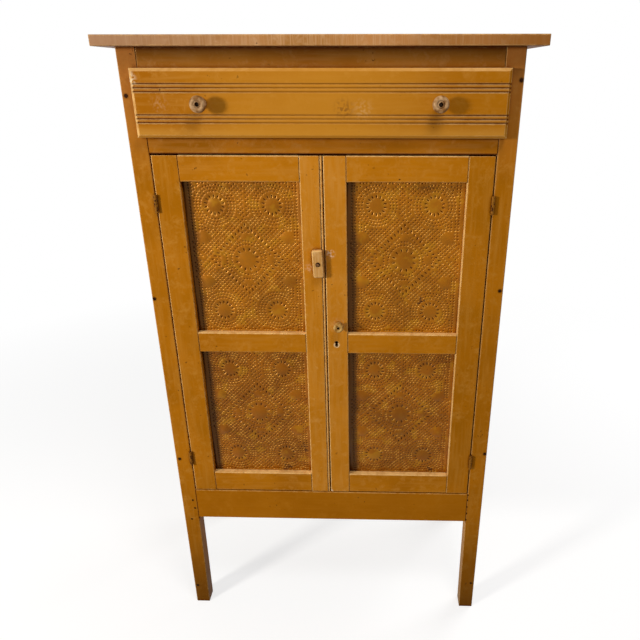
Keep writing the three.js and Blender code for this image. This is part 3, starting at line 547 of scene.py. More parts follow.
# %% Two colours in patches
def patched(name, base, patch, between, size, hollows, dirt_and_shade, relief, surface):
    """A small thing where the colour patch covers the colour base in places.

    between: the two values of the noise between which the patches begin and are whole
    size: how large the patches are
    hollows: distance, start, thickest and strength of the soiling and painted shade in the hollows, whose
    colour is the next argument
    relief: how strongly the patches stand out
    """
    material, tree, place = new_material(name)
    patches = add(tree, "TexNoise", {"Vector": place, "Scale": 1 / size, "Detail": 5.0})
    share = add(tree, "MapRange", {"Value": patches, "From Min": between[0], "From Max": between[1]})
    coats = [(share, patch), (hollow_dirt_and_shade(tree, *hollows), dirt_and_shade)]
    return surfaced(material, {"Height": patches, "Strength": relief}, {
        "Base Color": coated(tree, base, coats), **surface})


def old_iron(name, under, top, cover, roughness):
    """Iron where cover, from 0 to 1, says how much of the top colour is left."""
    return patched(
        name, under, top, (0.68 - 0.4 * cover, 0.76 - 0.4 * cover), 5 * MM, (6 * MM, 0.85, 0.45, 0.9),
        "1E0E06", 0.5, {"Roughness": roughness, "Specular IOR Level": 0.04})


# Turned hardwood, polished by hands: a small soft highlight on pale wood
knob_wear = dict(
    between=(0.38, 0.60), size=9 * MM, hollows=(8 * MM, 0.90, 0.40, 0.95), dirt_and_shade="301608", relief=0.3,
    surface={"Roughness": 0.38, "Specular IOR Level": 0.25, "Specular Tint": linear("FFE4C0")})
knob_finish = patched("worn_turned_wood", "84582A", "BE966A", **knob_wear)
door_knob_finish = patched("worn_painted_knob", "9A6822", "D0A45C", **knob_wear)
# Cast iron butt hinges under house paint: dull, with brown iron at the knuckles
painted_iron = old_iron("painted_hinge_iron", "4A2810", "94601E", cover=0.72, roughness=0.5)
# Nails, tacks and the lock, oxidised: brown black, and too rough to shine
dark_iron = old_iron("rusted_iron", "381C0C", "1C0C06", cover=0.6, roughness=0.65)
# The turn button's screw, wiped clean by use: a warmer brown that stands out on the wood
worn_screw = old_iron("worn_screw_iron", "5A3820", "8A6240", cover=0.7, roughness=0.45)
print("finish of the knobs and the iron:", knob_finish.name, door_knob_finish.name, painted_iron.name)

# %% [markdown]
# ## Painted tin
# The tins have the same mustard paint, but thinner and glossier, over tinplate. Brown
# glaze lies in the punch marks and clouds the sheet; in the pits it is painted shade as
# well. The rims of the marks are rubbed pale, and that pale band also stands as a painted
# highlight. Each vertex of a tin will carry a number called punch, 0 on the flat sheet
# and 1 at the bottom of a mark, and the material reads it to put both where they belong.
# A painted shadow of the door frame darkens each tin at its left and top.

# %% Rims rubbed pale with a painted highlight, and a painted shadow by the frame
tin_box = [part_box("right_lower_tin"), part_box("right_upper_tin")]
TIN_MIDDLE_X = (tin_box[0][0].x + tin_box[0][1].x) / 2
TIN_STEP_Z = tin_box[1][0].z - tin_box[0][0].z
TIN_MIDDLE_Z = ((tin_box[0][0].z + tin_box[0][1].z) / 2) % TIN_STEP_Z


def rim_wear_and_highlight(tree, place, punch):
    """A share that is high on a band inside each rim, here more and there less: rubbed paint and a painted
    highlight.
    """
    rim = add(tree, "MapRange", {"Value": punch, "From Min": 0.02, "From Max": 0.12})
    inside = add(tree, "MapRange", {"Value": punch, "From Min": 0.5, "From Max": 0.3})
    uneven = add(tree, "TexNoise", {"Vector": place, "Scale": 1 / (16 * MM), "Detail": 3.0})
    where = add(tree, "MapRange", {"Value": uneven, "From Min": 0.46, "From Max": 0.60, "To Max": 0.9})
    band = add(tree, "Math", {0: rim, 1: inside}, operation="MULTIPLY")
    return add(tree, "Math", {0: band, 1: where}, operation="MULTIPLY")


def painted_frame_shadow(tree, place, patches):
    """A painted shadow of the frame at the left and the top of a tin. The remainder of a division puts
    every tin in one place.
    """
    parts = add(tree, "SeparateXYZ", {0: place})
    across = add(tree, "Math", {0: parts.outputs["X"], 1: 2 * TIN_MIDDLE_X}, operation="FLOORED_MODULO")
    to_left = add(tree, "Math", {0: TIN_MIDDLE_X, 1: across}, operation="SUBTRACT")
    along = add(tree, "Math", {0: parts.outputs["Z"], 1: TIN_STEP_Z}, operation="FLOORED_MODULO")
    to_top = add(tree, "Math", {0: along, 1: TIN_MIDDLE_Z + 60 * MM}, operation="SUBTRACT")
    outermost = add(tree, "Math", {0: to_left, 1: to_top}, operation="MAXIMUM")
    uneven = add(tree, "Math", {0: patches, 1: 24 * MM, 2: outermost}, operation="MULTIPLY_ADD")
    return add(tree, "MapRange", {
        "Value": uneven, "From Min": 107 * MM, "From Max": 121 * MM, "To Max": 0.88})


print("tins repeat every", round(TIN_STEP_Z / MM, 1), "mm upwards")

# %% Tin paint
def rust_coats(tree, place, rust):
    """Spots where the tin has rusted through, with ragged edges."""
    fine = add(tree, "TexNoise", {"Vector": place, "Scale": 1 / (8 * MM), "Detail": 6.0})
    coats = []
    for centre, inner, outer in rust:
        away = add(tree, "VectorMath", {0: place, 1: centre}, operation="DISTANCE")
        near = add(tree, "MapRange", {"Value": away, "From Min": outer, "From Max": inner, "To Max": 0.48})
        both = add(tree, "Math", {0: near, 1: fine}, operation="ADD")
        share = add(tree, "MapRange", {"Value": both, "From Min": 0.72, "From Max": 0.80, "To Max": 0.85})
        coats.append((share, "3E1606"))
    return coats


def painted_tin(name, main, deep, pit_glaze_and_shade_share, rust=()):
    """Thin paint on tin. Each rust spot is (centre, inner radius, outer radius)."""
    material, tree, place = new_material(name)
    punch = add(tree, "Attribute", attribute_name="punch").outputs["Fac"]
    patches = add(tree, "TexNoise", {"Vector": place, "Scale": 1 / (70 * MM), "Detail": 6.0})
    mottle = add(tree, "TexNoise", {"Vector": place, "Scale": 1 / (28 * MM), "Detail": 4.0})
    coats = []
    for cloud, low, high, colour, strength in (
            (patches, 0.40, 0.66, deep, 0.6), (mottle, 0.54, 0.66, "8E5A10", 0.4),
            (mottle, 0.46, 0.34, "B47C10", 0.5)):
        share = add(tree, "MapRange", {
            "Value": cloud, "From Min": low, "From Max": high, "To Max": strength})
        coats.append((share, colour))
    # Pale rims: rubbed paint and a painted highlight
    coats.append((rim_wear_and_highlight(tree, place, punch), "E0A040"))
    # Dark glaze in the bottoms of the marks, which is painted shade in the pits as well
    pit_glaze_and_shade = add(tree, "MapRange", {
        "Value": punch, "From Min": 0.25, "From Max": 0.85, "To Max": pit_glaze_and_shade_share})
    # Then the painted shadow of the frame, at the tin's left and top
    coats += [(pit_glaze_and_shade, "441A00"), (painted_frame_shadow(tree, place, patches), "3A1600")]
    coats += rust_coats(tree, place, rust)
    grit = add(tree, "TexNoise", {"Vector": place, "Scale": 1 / (4 * MM), "Detail": 3.0})
    gloss = add(tree, "MapRange", {
        "Value": patches, "From Min": 0.3, "From Max": 0.7, "To Min": 0.28, "To Max": 0.38})
    return surfaced(material, {"Height": grit, "Strength": 0.35, "Distance": 0.4 * MM}, {
        "Base Color": coated(tree, main, coats), "Roughness": gloss, "Metallic": 0.18, "IOR": 1.5,
        "Specular IOR Level": 0.45, "Specular Tint": linear("FFD496")})


# Tinplate, punched by hand and painted thin: glossier than the boards, so the marks' walls glint
tin_upper = painted_tin("painted_tin_upper", "A86404", "784402", pit_glaze_and_shade_share=0.75, rust=[
    (Vector((0.205, POST_FACE, 0.897)), 3 * MM, 24 * MM)])
# The lower tins are darker, with darker pits: painted shade where the light falls off lower down
tin_lower = painted_tin("painted_tin_lower", "985600", "623200", pit_glaze_and_shade_share=0.9, rust=[
    (Vector((-0.060, POST_FACE, 0.508)), 6 * MM, 26 * MM),
    (Vector((-0.110, POST_FACE, 0.444)), 6 * MM, 24 * MM),
    (Vector((0.247, POST_FACE, 0.445)), 3 * MM, 24 * MM)])
print("tin paint:", tin_upper.name, tin_lower.name)

# %% [markdown]
# ## Dress the boards
# Each CAD node that shows its right shape stays where it is, and only gets a material.
# Its object has one material slot, so the new material goes in its place.

# %% Materials for the CAD nodes
finishes = {
    "top_board": paint_top, "apron": paint_apron, "middle_rail": paint_middle_rail,
    "top_rail": paint_top_rail, "drawer_front": paint_drawer, "turn_button": button_wood,
    "left_door_meeting_stile": paint_left_meeting, "right_door_meeting_stile": paint_right_meeting,
    "door_knob": door_knob_finish,
    "back_board_1": back_pine, "back_board_2": middle_back_pine, "back_board_3": back_pine}
finishes |= dict.fromkeys(
    ("drawer_back", "drawer_bottom", "bottom_board", "lower_shelf_board", "upper_shelf_board"), pine["x"])
finishes |= dict.fromkeys(("turn_button_screw", "lock_case", "lock_bolt"), dark_iron)
on_both_sides = (
    (paint_upright, "side_board"), (paint_hinge_stile, "door_hinge_stile"), (knob_finish, "drawer_knob"),
    (paint_post, "front_post rear_post"), (tin_lower, "lower_tin"), (tin_upper, "upper_tin"),
    (paint_door_rail, "door_bottom_rail door_middle_rail door_top_rail"),
    (pine["y"], "bottom_cleat lower_shelf_cleat upper_shelf_cleat drawer_runner drawer_kicker drawer_side"),
    (painted_iron,
     "lower_hinge_post_leaf lower_hinge_door_leaf upper_hinge_post_leaf upper_hinge_door_leaf"))
for side in ("right", "left"):
    for material, names in on_both_sides:
        finishes |= {f"{side}_{name}": material for name in names.split()}
for node, material in finishes.items():
    nodes[node].material_slots[0].material = material
print(len(finishes), "CAD nodes dressed,", len(set(nodes) - set(finishes)), "left over")

# %% [markdown]
# ## New pieces
# A new piece is built in a bmesh, in its place in the cabinet, and becomes an object
# that sits at the origin. It rides on the body of the piece that carries it.

# %% From a bmesh to a piece
def mesh_from(bm, name):
    """Turns a bmesh into a mesh, and frees it."""
    mesh = bpy.data.meshes.new(name)
    bm.to_mesh(mesh)
    bm.free()
    return mesh


def piece_from(bm, name, body, material, smooth=True):
    """Makes an object of a bmesh, and hangs it on a body."""
    for face in bm.faces:
        face.smooth = smooth
    made = shown(name, mesh_from(bm, name))
    made.data.materials.append(material)
    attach(made, body)
    return made


print("pieces are added one by one below")

# %% [markdown]
# ## The pattern of the tins
# A tinsmith laid a paper pattern on the sheet and followed it with two tools: a chisel
# for the long petals, and a nail for the dots. The pattern has a rosette in each corner
# and one in the middle, a diamond of petals round that one, and rows of dots that
# follow the circles and the diamond. A petal is its place on the sheet, the direction
# in which it points, and its half length and half width.

# %% Pattern sizes
TIN_HALF_WIDTH, TIN_HALF_HEIGHT = 127 * MM, 178 * MM
ROSETTE_ACROSS, ROSETTE_UP = 60 * MM, 117 * MM
DIAMOND_WIDE, DIAMOND_TALL = 75 * MM, 76 * MM
DOT_PITCH = 6.6 * MM
DOT_RADIUS = 2.65 * MM
PETAL_HALF_WIDTH = 3.0 * MM
# Where a ring of petals starts and ends, measured from its own middle, and how many it has
MIDDLE_PETALS = (17.5 * MM, 27.5 * MM, 12)
ROSETTE_PETALS = (13.5 * MM, 23.5 * MM, 14)
rosettes = [(x * ROSETTE_ACROSS, z * ROSETTE_UP) for x in (-1, 1) for z in (-1, 1)]
print("rosettes at", [(round(x / MM), round(z / MM)) for x, z in rosettes])

# %% Petals
def petal_ring(x, z, start, end, count):
    """Petals that point away from x, z."""
    middle = (start + end) / 2
    turns = [2 * math.pi * (i + 0.5) / count for i in range(count)]
    return [(x + middle * math.cos(t), z + middle * math.sin(t), t, (end - start) / 2, PETAL_HALF_WIDTH)
            for t in turns]


def petal_diamond(per_side=11, half_length=5 * MM):
    """Petals along four sides, each pointing away from the middle."""
    corners = [(DIAMOND_WIDE, 0), (0, DIAMOND_TALL), (-DIAMOND_WIDE, 0), (0, -DIAMOND_TALL)]
    marks = []
    for side, (x0, z0) in enumerate(corners):
        x1, z1 = corners[(side + 1) % 4]
        for i in range(per_side):
            share = i / per_side
            x, z = x0 + share * (x1 - x0), z0 + share * (z1 - z0)
            marks.append((x, z, math.atan2(z, x), half_length, PETAL_HALF_WIDTH))
    return marks


petals = petal_ring(0, 0, *MIDDLE_PETALS) + petal_diamond()
for x, z in rosettes:
    petals += petal_ring(x, z, *ROSETTE_PETALS)
print(len(petals), "petals")

# %% Rows of dots
RINGS = (29.5 * MM, 36 * MM, 42.5 * MM)
MIDDLE_RING = 33.5 * MM
# How far rows of dots lie outside the diamond, and how far they run to each side of its middle
INNER_ROW, INNER_REACH = -10 * MM, 32 * MM
OUTER_ROWS, OUTER_REACH = (9.5, 16, 22.5, 29, 35.5, 42, 48.5), 130 * MM


def dot_circle(x, z, radius):
    """Dots about one pitch apart on a circle."""
    count = round(2 * math.pi * radius / DOT_PITCH)
    turns = [2 * math.pi * i / count for i in range(count)]
    return [(x + radius * math.cos(t), z + radius * math.sin(t)) for t in turns]


def dots_beside_diamond(offset, reach):
    """Rows along the four sides, offset outwards, that run on past the corners."""
    side = Vector((-DIAMOND_WIDE, DIAMOND_TALL)).normalized()
    square = Vector((DIAMOND_TALL, DIAMOND_WIDE)).normalized()
    middle = square * (square.dot(Vector((DIAMOND_WIDE, 0))) + offset)
    steps = int(reach / DOT_PITCH)
    row = [middle + side * (i * DOT_PITCH) for i in range(-steps, steps + 1)]
    return [(sx * p.x, sz * p.y) for p in row for sx in (1, -1) for sz in (1, -1)]


dots = dot_circle(0, 0, MIDDLE_RING)
for x, z in rosettes:
    for radius in RINGS:
        dots += dot_circle(x, z, radius)
dots += dots_beside_diamond(INNER_ROW, INNER_REACH)
for offset in OUTER_ROWS:
    dots += dots_beside_diamond(offset * MM, OUTER_REACH)
print(len(dots), "dots before the rows are thinned where they cross")

# %% Thin the dots
DOT_CLOSEST = 6.0 * MM
PETAL_CLEAR_END, PETAL_CLEAR_SIDE = 3.2 * MM, 5.9 * MM
PATTERN_HALF_WIDTH, PATTERN_HALF_HEIGHT = 115 * MM, 166 * MM
ROWS_FROM_ROSETTE = 46 * MM
# Millimetres: the middle and the radius of each plain place in one quarter of the sheet
PLAIN_PLACES = ((90, 50, 14), (0, 0, 31), (52, 0, 9), (0, 52, 9))
# Millimetres: the two columns and two rows at the edges, and the pitch of tries for gaps
EDGE_COLUMNS, EDGE_ROWS, TRY_PITCH = (111, 104.5), (163, 156.5), 3.1


def thinned(points, taken):
    """Keeps each point that is far enough from the petals and from all points kept before it."""
    kept = []
    for x, z in points:
        crowded = any((x - a) ** 2 + (z - b) ** 2 < DOT_CLOSEST ** 2 for a, b in kept)
        on_petal = any(abs((x - a) * math.cos(t) + (z - b) * math.sin(t)) < reach + PETAL_CLEAR_END
                       and abs((z - b) * math.cos(t) - (x - a) * math.sin(t)) < PETAL_CLEAR_SIDE
                       for a, b, t, reach, _ in taken)
        if not crowded and not on_petal:
            kept.append((x, z))
    return kept


def has_dots(x, z):
    """True where the paper pattern had dots: rings round the rosettes, rows elsewhere."""
    x, z = abs(x), abs(z)
    nearest = math.hypot(x - ROSETTE_ACROSS, z - ROSETTE_UP)
    on_ring = min(abs(nearest - radius) for radius in RINGS) < 0.5 * MM
    plain = any(math.hypot(x - a * MM, z - b * MM) < radius * MM for a, b, radius in PLAIN_PLACES)
    on_sheet = x <= PATTERN_HALF_WIDTH and z <= PATTERN_HALF_HEIGHT
    return on_sheet and (on_ring or (nearest > ROWS_FROM_ROSETTE and not plain))


# The smith filled what was left: the columns and rows at the edges first, and then gaps anywhere
fill = [(sx * x * MM, i * DOT_PITCH) for i in range(-26, 27) for x in EDGE_COLUMNS for sx in (-1, 1)]
fill += [(i * DOT_PITCH, sz * z * MM) for i in range(-17, 18) for z in EDGE_ROWS for sz in (-1, 1)]
fill += [(i * TRY_PITCH * MM, j * TRY_PITCH * MM) for j in range(-54, 55) for i in range(-37, 38)]
dots = thinned([p for p in dots + fill if has_dots(*p)], petals)
print(len(dots), "dots on a tin")

# %% [markdown]
# ## Punch a tin
# Each mark is first a small outline on a flat sheet: seven points for a dot, eight for a
# petal. Triangle fill then makes the sheet round all the outlines at once. A dot is
# inset and poked into a bowl. A petal is extruded and drawn in to a narrow slit that is
# cut right through, as a chisel cuts it. No two marks are quite alike. Last, the sheet
# is bent a little, and a Solidify modifier gives it the thickness of tinplate.

# %% Sizes of the marks
DOT_POINTS, PETAL_POINTS = 7, 8
DOT_SIZES, PETAL_SIZES = (0.88, 1.03), (0.9, 1.05)
# How far the smith's hand strays: a dot's place in millimetres, and a petal's direction in radians
DOT_STRAY, PETAL_STRAY = 0.2, 0.06
BOWL_WALL = 1.25 * MM
BOWL_WALL_DEPTH = 1.4 * MM
BOWL_FLOOR_DEPTH = 1.0 * MM
PETAL_DEPTH = 2.6 * MM
SLIT_SHARES = (0.55, 0.05)
print("a dot is", round((BOWL_WALL_DEPTH + BOWL_FLOOR_DEPTH) / MM, 1), "mm deep, a petal", PETAL_DEPTH / MM)

# %% The punched sheet
def outline_ring(bm, x, z, turn, long_half, short_half, points):
    """The edges of a small round or long outline on the flat sheet."""
    flat = (Matrix.Translation((x, z, 0)) @ Matrix.Rotation(turn, 4, "Z")
            @ Matrix.Diagonal((long_half, short_half, 1, 1)))
    made = bmesh.ops.create_circle(bm, cap_ends=False, segments=points, radius=1, matrix=flat)
    return list(dict.fromkeys(edge for vert in made["verts"] for edge in vert.link_edges))


def sink_petal(bm, face):
    """Draws a petal's face down to a narrow slit, and gives the face that fills the slit."""
    centre = face.calc_center_median()
    tip = max((vert.co - centre for vert in face.verts), key=lambda d: d.length)
    turn = math.atan2(tip.y, tip.x)
    inner = bmesh.ops.extrude_discrete_faces(bm, faces=[face])["faces"][0]
    space = Matrix.Rotation(-turn, 4, "Z") @ Matrix.Translation(-centre)
    bmesh.ops.scale(bm, vec=(*SLIT_SHARES, 1), space=space, verts=inner.verts)
    bmesh.ops.translate(bm, vec=(0, 0, -PETAL_DEPTH), verts=inner.verts)
    return inner


def punched_sheet(seed):
    """A flat sheet in its own x and y, with marks that go down to negative z."""
    shake = random.Random(seed)
    bm = bmesh.new()
    dot_rims, petal_rims = [], []
    for x, z in dots:
        size = DOT_RADIUS * shake.uniform(*DOT_SIZES)
        x += shake.uniform(-DOT_STRAY, DOT_STRAY) * MM
        z += shake.uniform(-DOT_STRAY, DOT_STRAY) * MM
        dot_rims += outline_ring(bm, x, z, shake.uniform(0, math.pi), size, size, DOT_POINTS)
    for x, z, turn, long_half, short_half in petals:
        size = shake.uniform(*PETAL_SIZES)
        turn += shake.uniform(-PETAL_STRAY, PETAL_STRAY)
        petal_rims += outline_ring(bm, x, z, turn, long_half * size, short_half * size, PETAL_POINTS)
    corners = [bm.verts.new((sx * TIN_HALF_WIDTH, sz * TIN_HALF_HEIGHT, 0))
               for sx, sz in ((-1, -1), (1, -1), (1, 1), (-1, 1))]
    for i in range(4):
        bm.edges.new((corners[i], corners[(i + 1) % 4]))
    bmesh.ops.triangle_fill(bm, use_beauty=True, edges=bm.edges[:])
    depth = bm.verts.layers.float.new("punch")
    bowls = bmesh.ops.edgeloop_fill(bm, edges=dot_rims)["faces"]
    slits = bmesh.ops.edgeloop_fill(bm, edges=petal_rims)["faces"]
    bmesh.ops.recalc_face_normals(bm, faces=bm.faces[:])
    if bm.faces[0].normal.z < 0:
        bmesh.ops.reverse_faces(bm, faces=bm.faces[:])
    bmesh.ops.inset_individual(bm, faces=bowls, thickness=BOWL_WALL, depth=-BOWL_WALL_DEPTH)
    for face in bowls:
        for vert in face.verts:
            vert[depth] = 0.5
    bottoms = bmesh.ops.poke(bm, faces=bowls, offset=-BOWL_FLOOR_DEPTH)["verts"]
    cut = [sink_petal(bm, face) for face in slits]
    for vert in bottoms + [vert for face in cut for vert in face.verts]:
        vert[depth] = 1.0
    for edge in {edge for face in cut for edge in face.edges}:
        edge.smooth = False
    bmesh.ops.delete(bm, geom=cut, context="FACES_ONLY")
    return bm


print("a sheet has", len(dots) + len(petals), "marks")

# %% Set the four tins in their doors
TIN_GAUGE = 0.4 * MM
BUCKLE = 0.5 * MM
BUCKLE_LENGTH = 60 * MM
HELD_BY_FRAME = 30 * MM
# The sheet's z becomes the cabinet's -Y, so that the marks go into the cupboard
UPRIGHT = Matrix(((1, 0, 0, 0), (0, 0, -1, 0), (0, 1, 0, 0), (0, 0, 0, 1)))
for number, (side, level) in enumerate((s, v) for s in ("left", "right") for v in ("lower", "upper")):
    node = f"{side}_{level}_tin"
    low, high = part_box(node)
    middle = (low + high) / 2
    in_place = Matrix.Translation((middle.x, low.y, middle.z)) @ UPRIGHT
    bm = punched_sheet(seed=number)
    bmesh.ops.transform(bm, matrix=in_place, verts=bm.verts[:])
    for vert in bm.verts:
        edge = min(vert.co.x - low.x, high.x - vert.co.x, vert.co.z - low.z, high.z - vert.co.z)
        loose = min(1, max(0, edge / HELD_BY_FRAME))
        vert.co.y += loose * BUCKLE * (1 + noise.noise(vert.co / BUCKLE_LENGTH))
    tin = piece_from(bm, f"{node}_punched", f"{side}_door",
                     tin_upper if level == "upper" else tin_lower)
    thick = tin.modifiers.new("gauge", "SOLIDIFY")
    thick.thickness = TIN_GAUGE
    thick.offset = -1
    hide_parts(node)
print("four tins set in the doors")

# %% [markdown]
# ## Turned knobs
# A turned knob is one outline spun round its axis. The outline below is a share of the
# knob's radius and of its length: a flange, a thin neck, a round head, and a face with a
# raised ring round the screw hole. A Subdivision modifier rounds it off.

# %% Spin the knobs
KNOB_OUTLINE = [
    (0, -0.30), (0.32, -0.30), (0.32, 0.0), (0.66, 0.0), (0.68, 0.05), (0.52, 0.14), (0.42, 0.32),
    (0.50, 0.48), (0.84, 0.58), (0.99, 0.70), (1.0, 0.80), (0.94, 0.91), (0.80, 0.975), (0.62, 1.0),
    (0.50, 0.98), (0.43, 0.94), (0.37, 0.945), (0.33, 0.985), (0.28, 0.985), (0.25, 0.95), (0.24, 0.72),
    (0, 0.72)]
KNOB_STEPS = 28


def turned_knob(node, body, face, finish):
    """Spins a knob in the box of its CAD node. Its flange stands on the plane y = face."""
    low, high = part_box(node)
    radius, length = (high.x - low.x) / 2, face - low.y
    middle = Vector(((low.x + high.x) / 2, face, (low.z + high.z) / 2))
    bm = bmesh.new()
    line = [bm.verts.new(middle + Vector((out * radius, -up * length, 0))) for out, up in KNOB_OUTLINE]
    edges = [bm.edges.new(pair) for pair in zip(line, line[1:])]
    bmesh.ops.spin(bm, geom=line + edges, cent=middle, axis=(0, 1, 0), dvec=(0, 0, 0), angle=2 * math.pi,
                   steps=KNOB_STEPS, use_merge=True, use_duplicate=False)
    bmesh.ops.remove_doubles(bm, verts=bm.verts[:], dist=0.01 * MM)
    bmesh.ops.recalc_face_normals(bm, faces=bm.faces[:])
    knob = piece_from(bm, f"{node}_turned", body, finish)
    rounded = knob.modifiers.new("rounded", "SUBSURF")
    rounded.levels = rounded.render_levels = 2
    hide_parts(node)
    print(knob.name, "is", round(2 * radius / MM), "mm across")


turned_knob("left_drawer_knob", "drawer", DRAWER_FACE, knob_finish)
turned_knob("right_drawer_knob", "drawer", DRAWER_FACE, knob_finish)
turned_knob("door_knob", "right_door", POST_FACE, door_knob_finish)

# %% [markdown]
# ## Nails, tacks and screws
# Small iron is the same shape many times over, so each kind is modelled once, facing up,
# and stamped where it belongs. A nail head is a low cone, a tack head a dome, and a
# screw head a disc whose slot is cut by two parallel planes and sunk.

# %% One of each
SLOT_HALF_WIDTH, SLOT_DEPTH = 0.4 * MM, 0.9 * MM


def low_head(radius, proud, top_share, sides):
    """A low cone round z = 0 that stands proud of it."""
    bm = bmesh.new()
    bmesh.ops.create_cone(bm, cap_ends=True, segments=sides, radius1=radius, radius2=radius * top_share,
                          depth=2 * proud, matrix=Matrix.Identity(4))
    return bm


nail_head = mesh_from(low_head(radius=3.8 * MM, proud=0.4 * MM, top_share=0.75, sides=14), "nail_head")

bm = low_head(radius=2.4 * MM, proud=0.8 * MM, top_share=0.8, sides=12)
top = max(bm.faces, key=lambda face: face.calc_center_median().z)
bmesh.ops.poke(bm, faces=[top], offset=0.5 * MM)
tack_head = mesh_from(bm, "tack_head")

bm = low_head(radius=2.9 * MM, proud=0.15 * MM, top_share=0.92, sides=20)
for side in (-1, 1):
    top = [face for face in bm.faces if face.normal.z > 0.9]
    geometry = top + [part for face in top for part in (*face.edges, *face.verts)]
    bmesh.ops.bisect_plane(bm, geom=list(dict.fromkeys(geometry)), dist=0.001 * MM,
                           plane_co=(0, side * SLOT_HALF_WIDTH, 0), plane_no=(0, 1, 0))
slot_face = [face for face in bm.faces
             if face.normal.z > 0.9 and abs(face.calc_center_median().y) < SLOT_HALF_WIDTH]
sunk = bmesh.ops.extrude_discrete_faces(bm, faces=slot_face)["faces"]
bmesh.ops.translate(bm, vec=(0, 0, -SLOT_DEPTH), verts=[vert for face in sunk for vert in face.verts])
screw_head = mesh_from(bm, "screw_head")
print("faces on a screw head:", len(screw_head.polygons))

# %% Stamp them
FRONT, BACK = (0, -1, 0), (0, 1, 0)


def stamped(pattern, name, body, outward, places, material=dark_iron):
    """One piece with the pattern at each place, facing outward, each turned its own way."""
    shake = random.Random(len(places))
    facing = Vector(outward).to_track_quat("Z", "Y").to_matrix().to_4x4()
    bm = bmesh.new()
    for place in places:
        first = len(bm.verts)
        bm.from_mesh(pattern)
        turned = Matrix.Translation(place) @ facing @ Matrix.Rotation(shake.uniform(0, math.pi), 4, "Z")
        bmesh.ops.transform(bm, matrix=turned, verts=bm.verts[:][first:])
    bmesh.ops.recalc_face_normals(bm, faces=bm.faces[:])
    return piece_from(bm, name, body, material, smooth=False)


stamped(nail_head, "post_nails", "case", FRONT, [Vector((x * MM, POST_FACE, z * MM)) for x, z in nails])
low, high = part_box("turn_button_screw")
stamped(screw_head, "turn_button_screw_slot", "left_door", FRONT,
        [Vector(((low.x + high.x) / 2, low.y, (low.z + high.z) / 2))], material=worn_screw)
print(len(nails), "nails in the posts")

# %% Tacks behind the tins, and the hinges' screws
TACK_PITCH = 48 * MM
TACK_IN = 3.2 * MM
HINGE_SCREW_DEPTH = -161.5 * MM
HINGE_SCREW_UP = 11.5 * MM
POST_LEAF_FACE, DOOR_LEAF_FACE = 342.7 * MM, 342.3 * MM
for side, sign in (("left", -1), ("right", 1)):
    tacks, heights = [], []
    for level in ("lower", "upper"):
        low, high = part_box(f"{side}_{level}_tin")
        back = low.y + TIN_GAUGE
        rows, columns = [round(length / TACK_PITCH) for length in (high.z - low.z, high.x - low.x)]
        for i in range(rows + 1):
            z = low.z + TACK_IN + i * (high.z - low.z - 2 * TACK_IN) / rows
            tacks += [Vector((low.x + TACK_IN, back, z)), Vector((high.x - TACK_IN, back, z))]
        for i in range(1, columns):
            x = low.x + TACK_IN + i * (high.x - low.x - 2 * TACK_IN) / columns
            tacks += [Vector((x, back, low.z + TACK_IN)), Vector((x, back, high.z - TACK_IN))]
        low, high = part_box(f"{side}_{level}_hinge_post_leaf")
        heights += [(low.z + high.z) / 2 + up for up in (-HINGE_SCREW_UP, HINGE_SCREW_UP)]
    stamped(tack_head, f"{side}_tin_tacks", f"{side}_door", BACK, tacks)
    # The post leaf looks at the door, and the door leaf looks at the post
    for body, x, outward in (("case", POST_LEAF_FACE, -sign), (f"{side}_door", DOOR_LEAF_FACE, sign)):
        stamped(screw_head, f"{side}_{body}_hinge_screws", body, (outward, 0, 0),
                [Vector((sign * x, HINGE_SCREW_DEPTH, z)) for z in heights], painted_iron)
print("tacks and hinge screws set")

# %% [markdown]
# ## Floor, light and background
# Soft light comes from a window to the left, as the shadows beside the knobs show. A
# small lamp in front, near the ceiling, shapes the top and the reeds. A wide lamp
# behind, at the right, lights the back. The room is plain and pale. What is seen of it,
# straight or in a reflection, is white, but the light that it sheds is much weaker.

# %% Floor
def seen_rays(tree):
    """1 for what is seen straight, in a reflection or through glass, and 0 for light that is shed."""
    path = add(tree, "LightPath")
    seen = path.outputs["Is Camera Ray"]
    for ray in ("Is Glossy Ray", "Is Transmission Ray"):
        seen = add(tree, "Math", {0: seen, 1: path.outputs[ray]}, operation="MAXIMUM")
    return seen


FLOOR_SIZE = 12.0
bm = bmesh.new()
bmesh.ops.create_grid(bm, x_segments=1, y_segments=1, size=FLOOR_SIZE / 2)
floor = shown("floor", mesh_from(bm, "floor"))

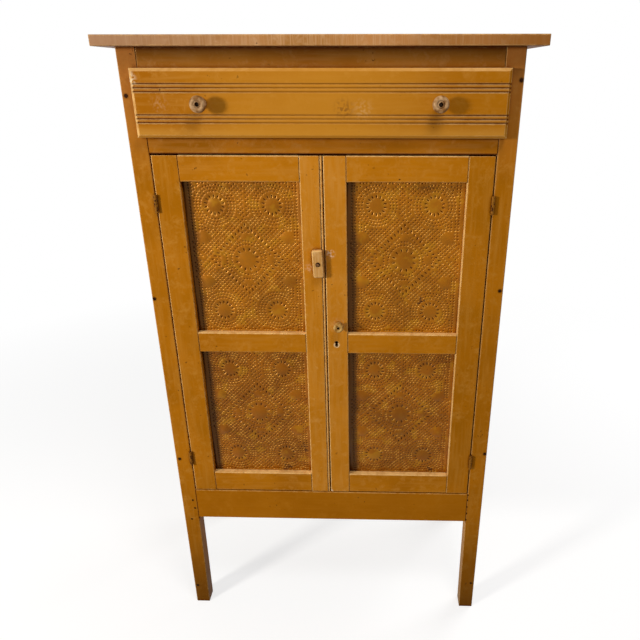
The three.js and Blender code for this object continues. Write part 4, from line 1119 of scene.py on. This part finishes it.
# Grey card with some light of its own, which fades into plain white further out
floor_finish, tree, place = new_material("pale_floor")
away = add(tree, "VectorMath", {0: place}, operation="LENGTH")
far = add(tree, "MapRange", {"Value": away, "From Min": 0.8, "From Max": 2.6})
matt = add(tree, "BsdfDiffuse", {"Color": linear("B4B4B4")})
glow, white = [add(tree, "Emission", {"Color": linear("FFFFFF"), "Strength": strength})
               for strength in (0.68, 1.0)]
near_floor = add(tree, "AddShader", {0: matt, 1: glow})
seen_floor = add(tree, "MixShader", {0: far, 1: near_floor, 2: white})
whole = add(tree, "MixShader", {0: seen_rays(tree), 1: matt, 2: seen_floor})
add(tree, "OutputMaterial", {"Surface": whole})
floor.data.materials.append(floor_finish)
print("floor", FLOOR_SIZE, "m wide")

# %% Room
ROOM_LIGHT = 0.19
world = bpy.data.worlds.new("pale_room")
bpy.context.scene.world = world
world.use_nodes = True
tree = world.node_tree
tree.nodes.clear()
strength = add(tree, "MapRange", {"Value": seen_rays(tree), "To Min": ROOM_LIGHT})
back = add(tree, "Background", {"Color": linear("FFFFFF"), "Strength": strength})
add(tree, "OutputWorld", {"Surface": back})
print("room light", ROOM_LIGHT)

# %% Lamps
def soft_lamp(name, place, target, size, watts, colour):
    """A square lamp at place that shines at target."""
    lamp = shown(name, bpy.data.lights.new(name, "AREA"))
    lamp.data.shape = "SQUARE"
    lamp.data.size = size
    lamp.data.energy = watts
    lamp.data.color = linear(colour)[:3]
    lamp.location = place
    lamp.rotation_euler = (Vector(target) - Vector(place)).to_track_quat("-Z", "Y").to_euler()


soft_lamp("window", (-2.15, -1.81, 1.49), (0, -0.17, 0.95), size=0.38, watts=52, colour="FFFCF6")
soft_lamp("ceiling_lamp", (0.45, -0.98, 2.45), (0, -0.17, 0.8), size=0.55, watts=11, colour="FFFFFF")
soft_lamp("far_wall", (2.2, 1.6, 1.9), (0, 0, 0.8), size=1.6, watts=36, colour="FFFFFF")
bpy.context.scene.view_settings.view_transform = "Standard"
print("three lamps")

# %% [markdown]
# ## The size
# The looks must not change the size of the cabinet.

# %% The end
print("the scene is set")
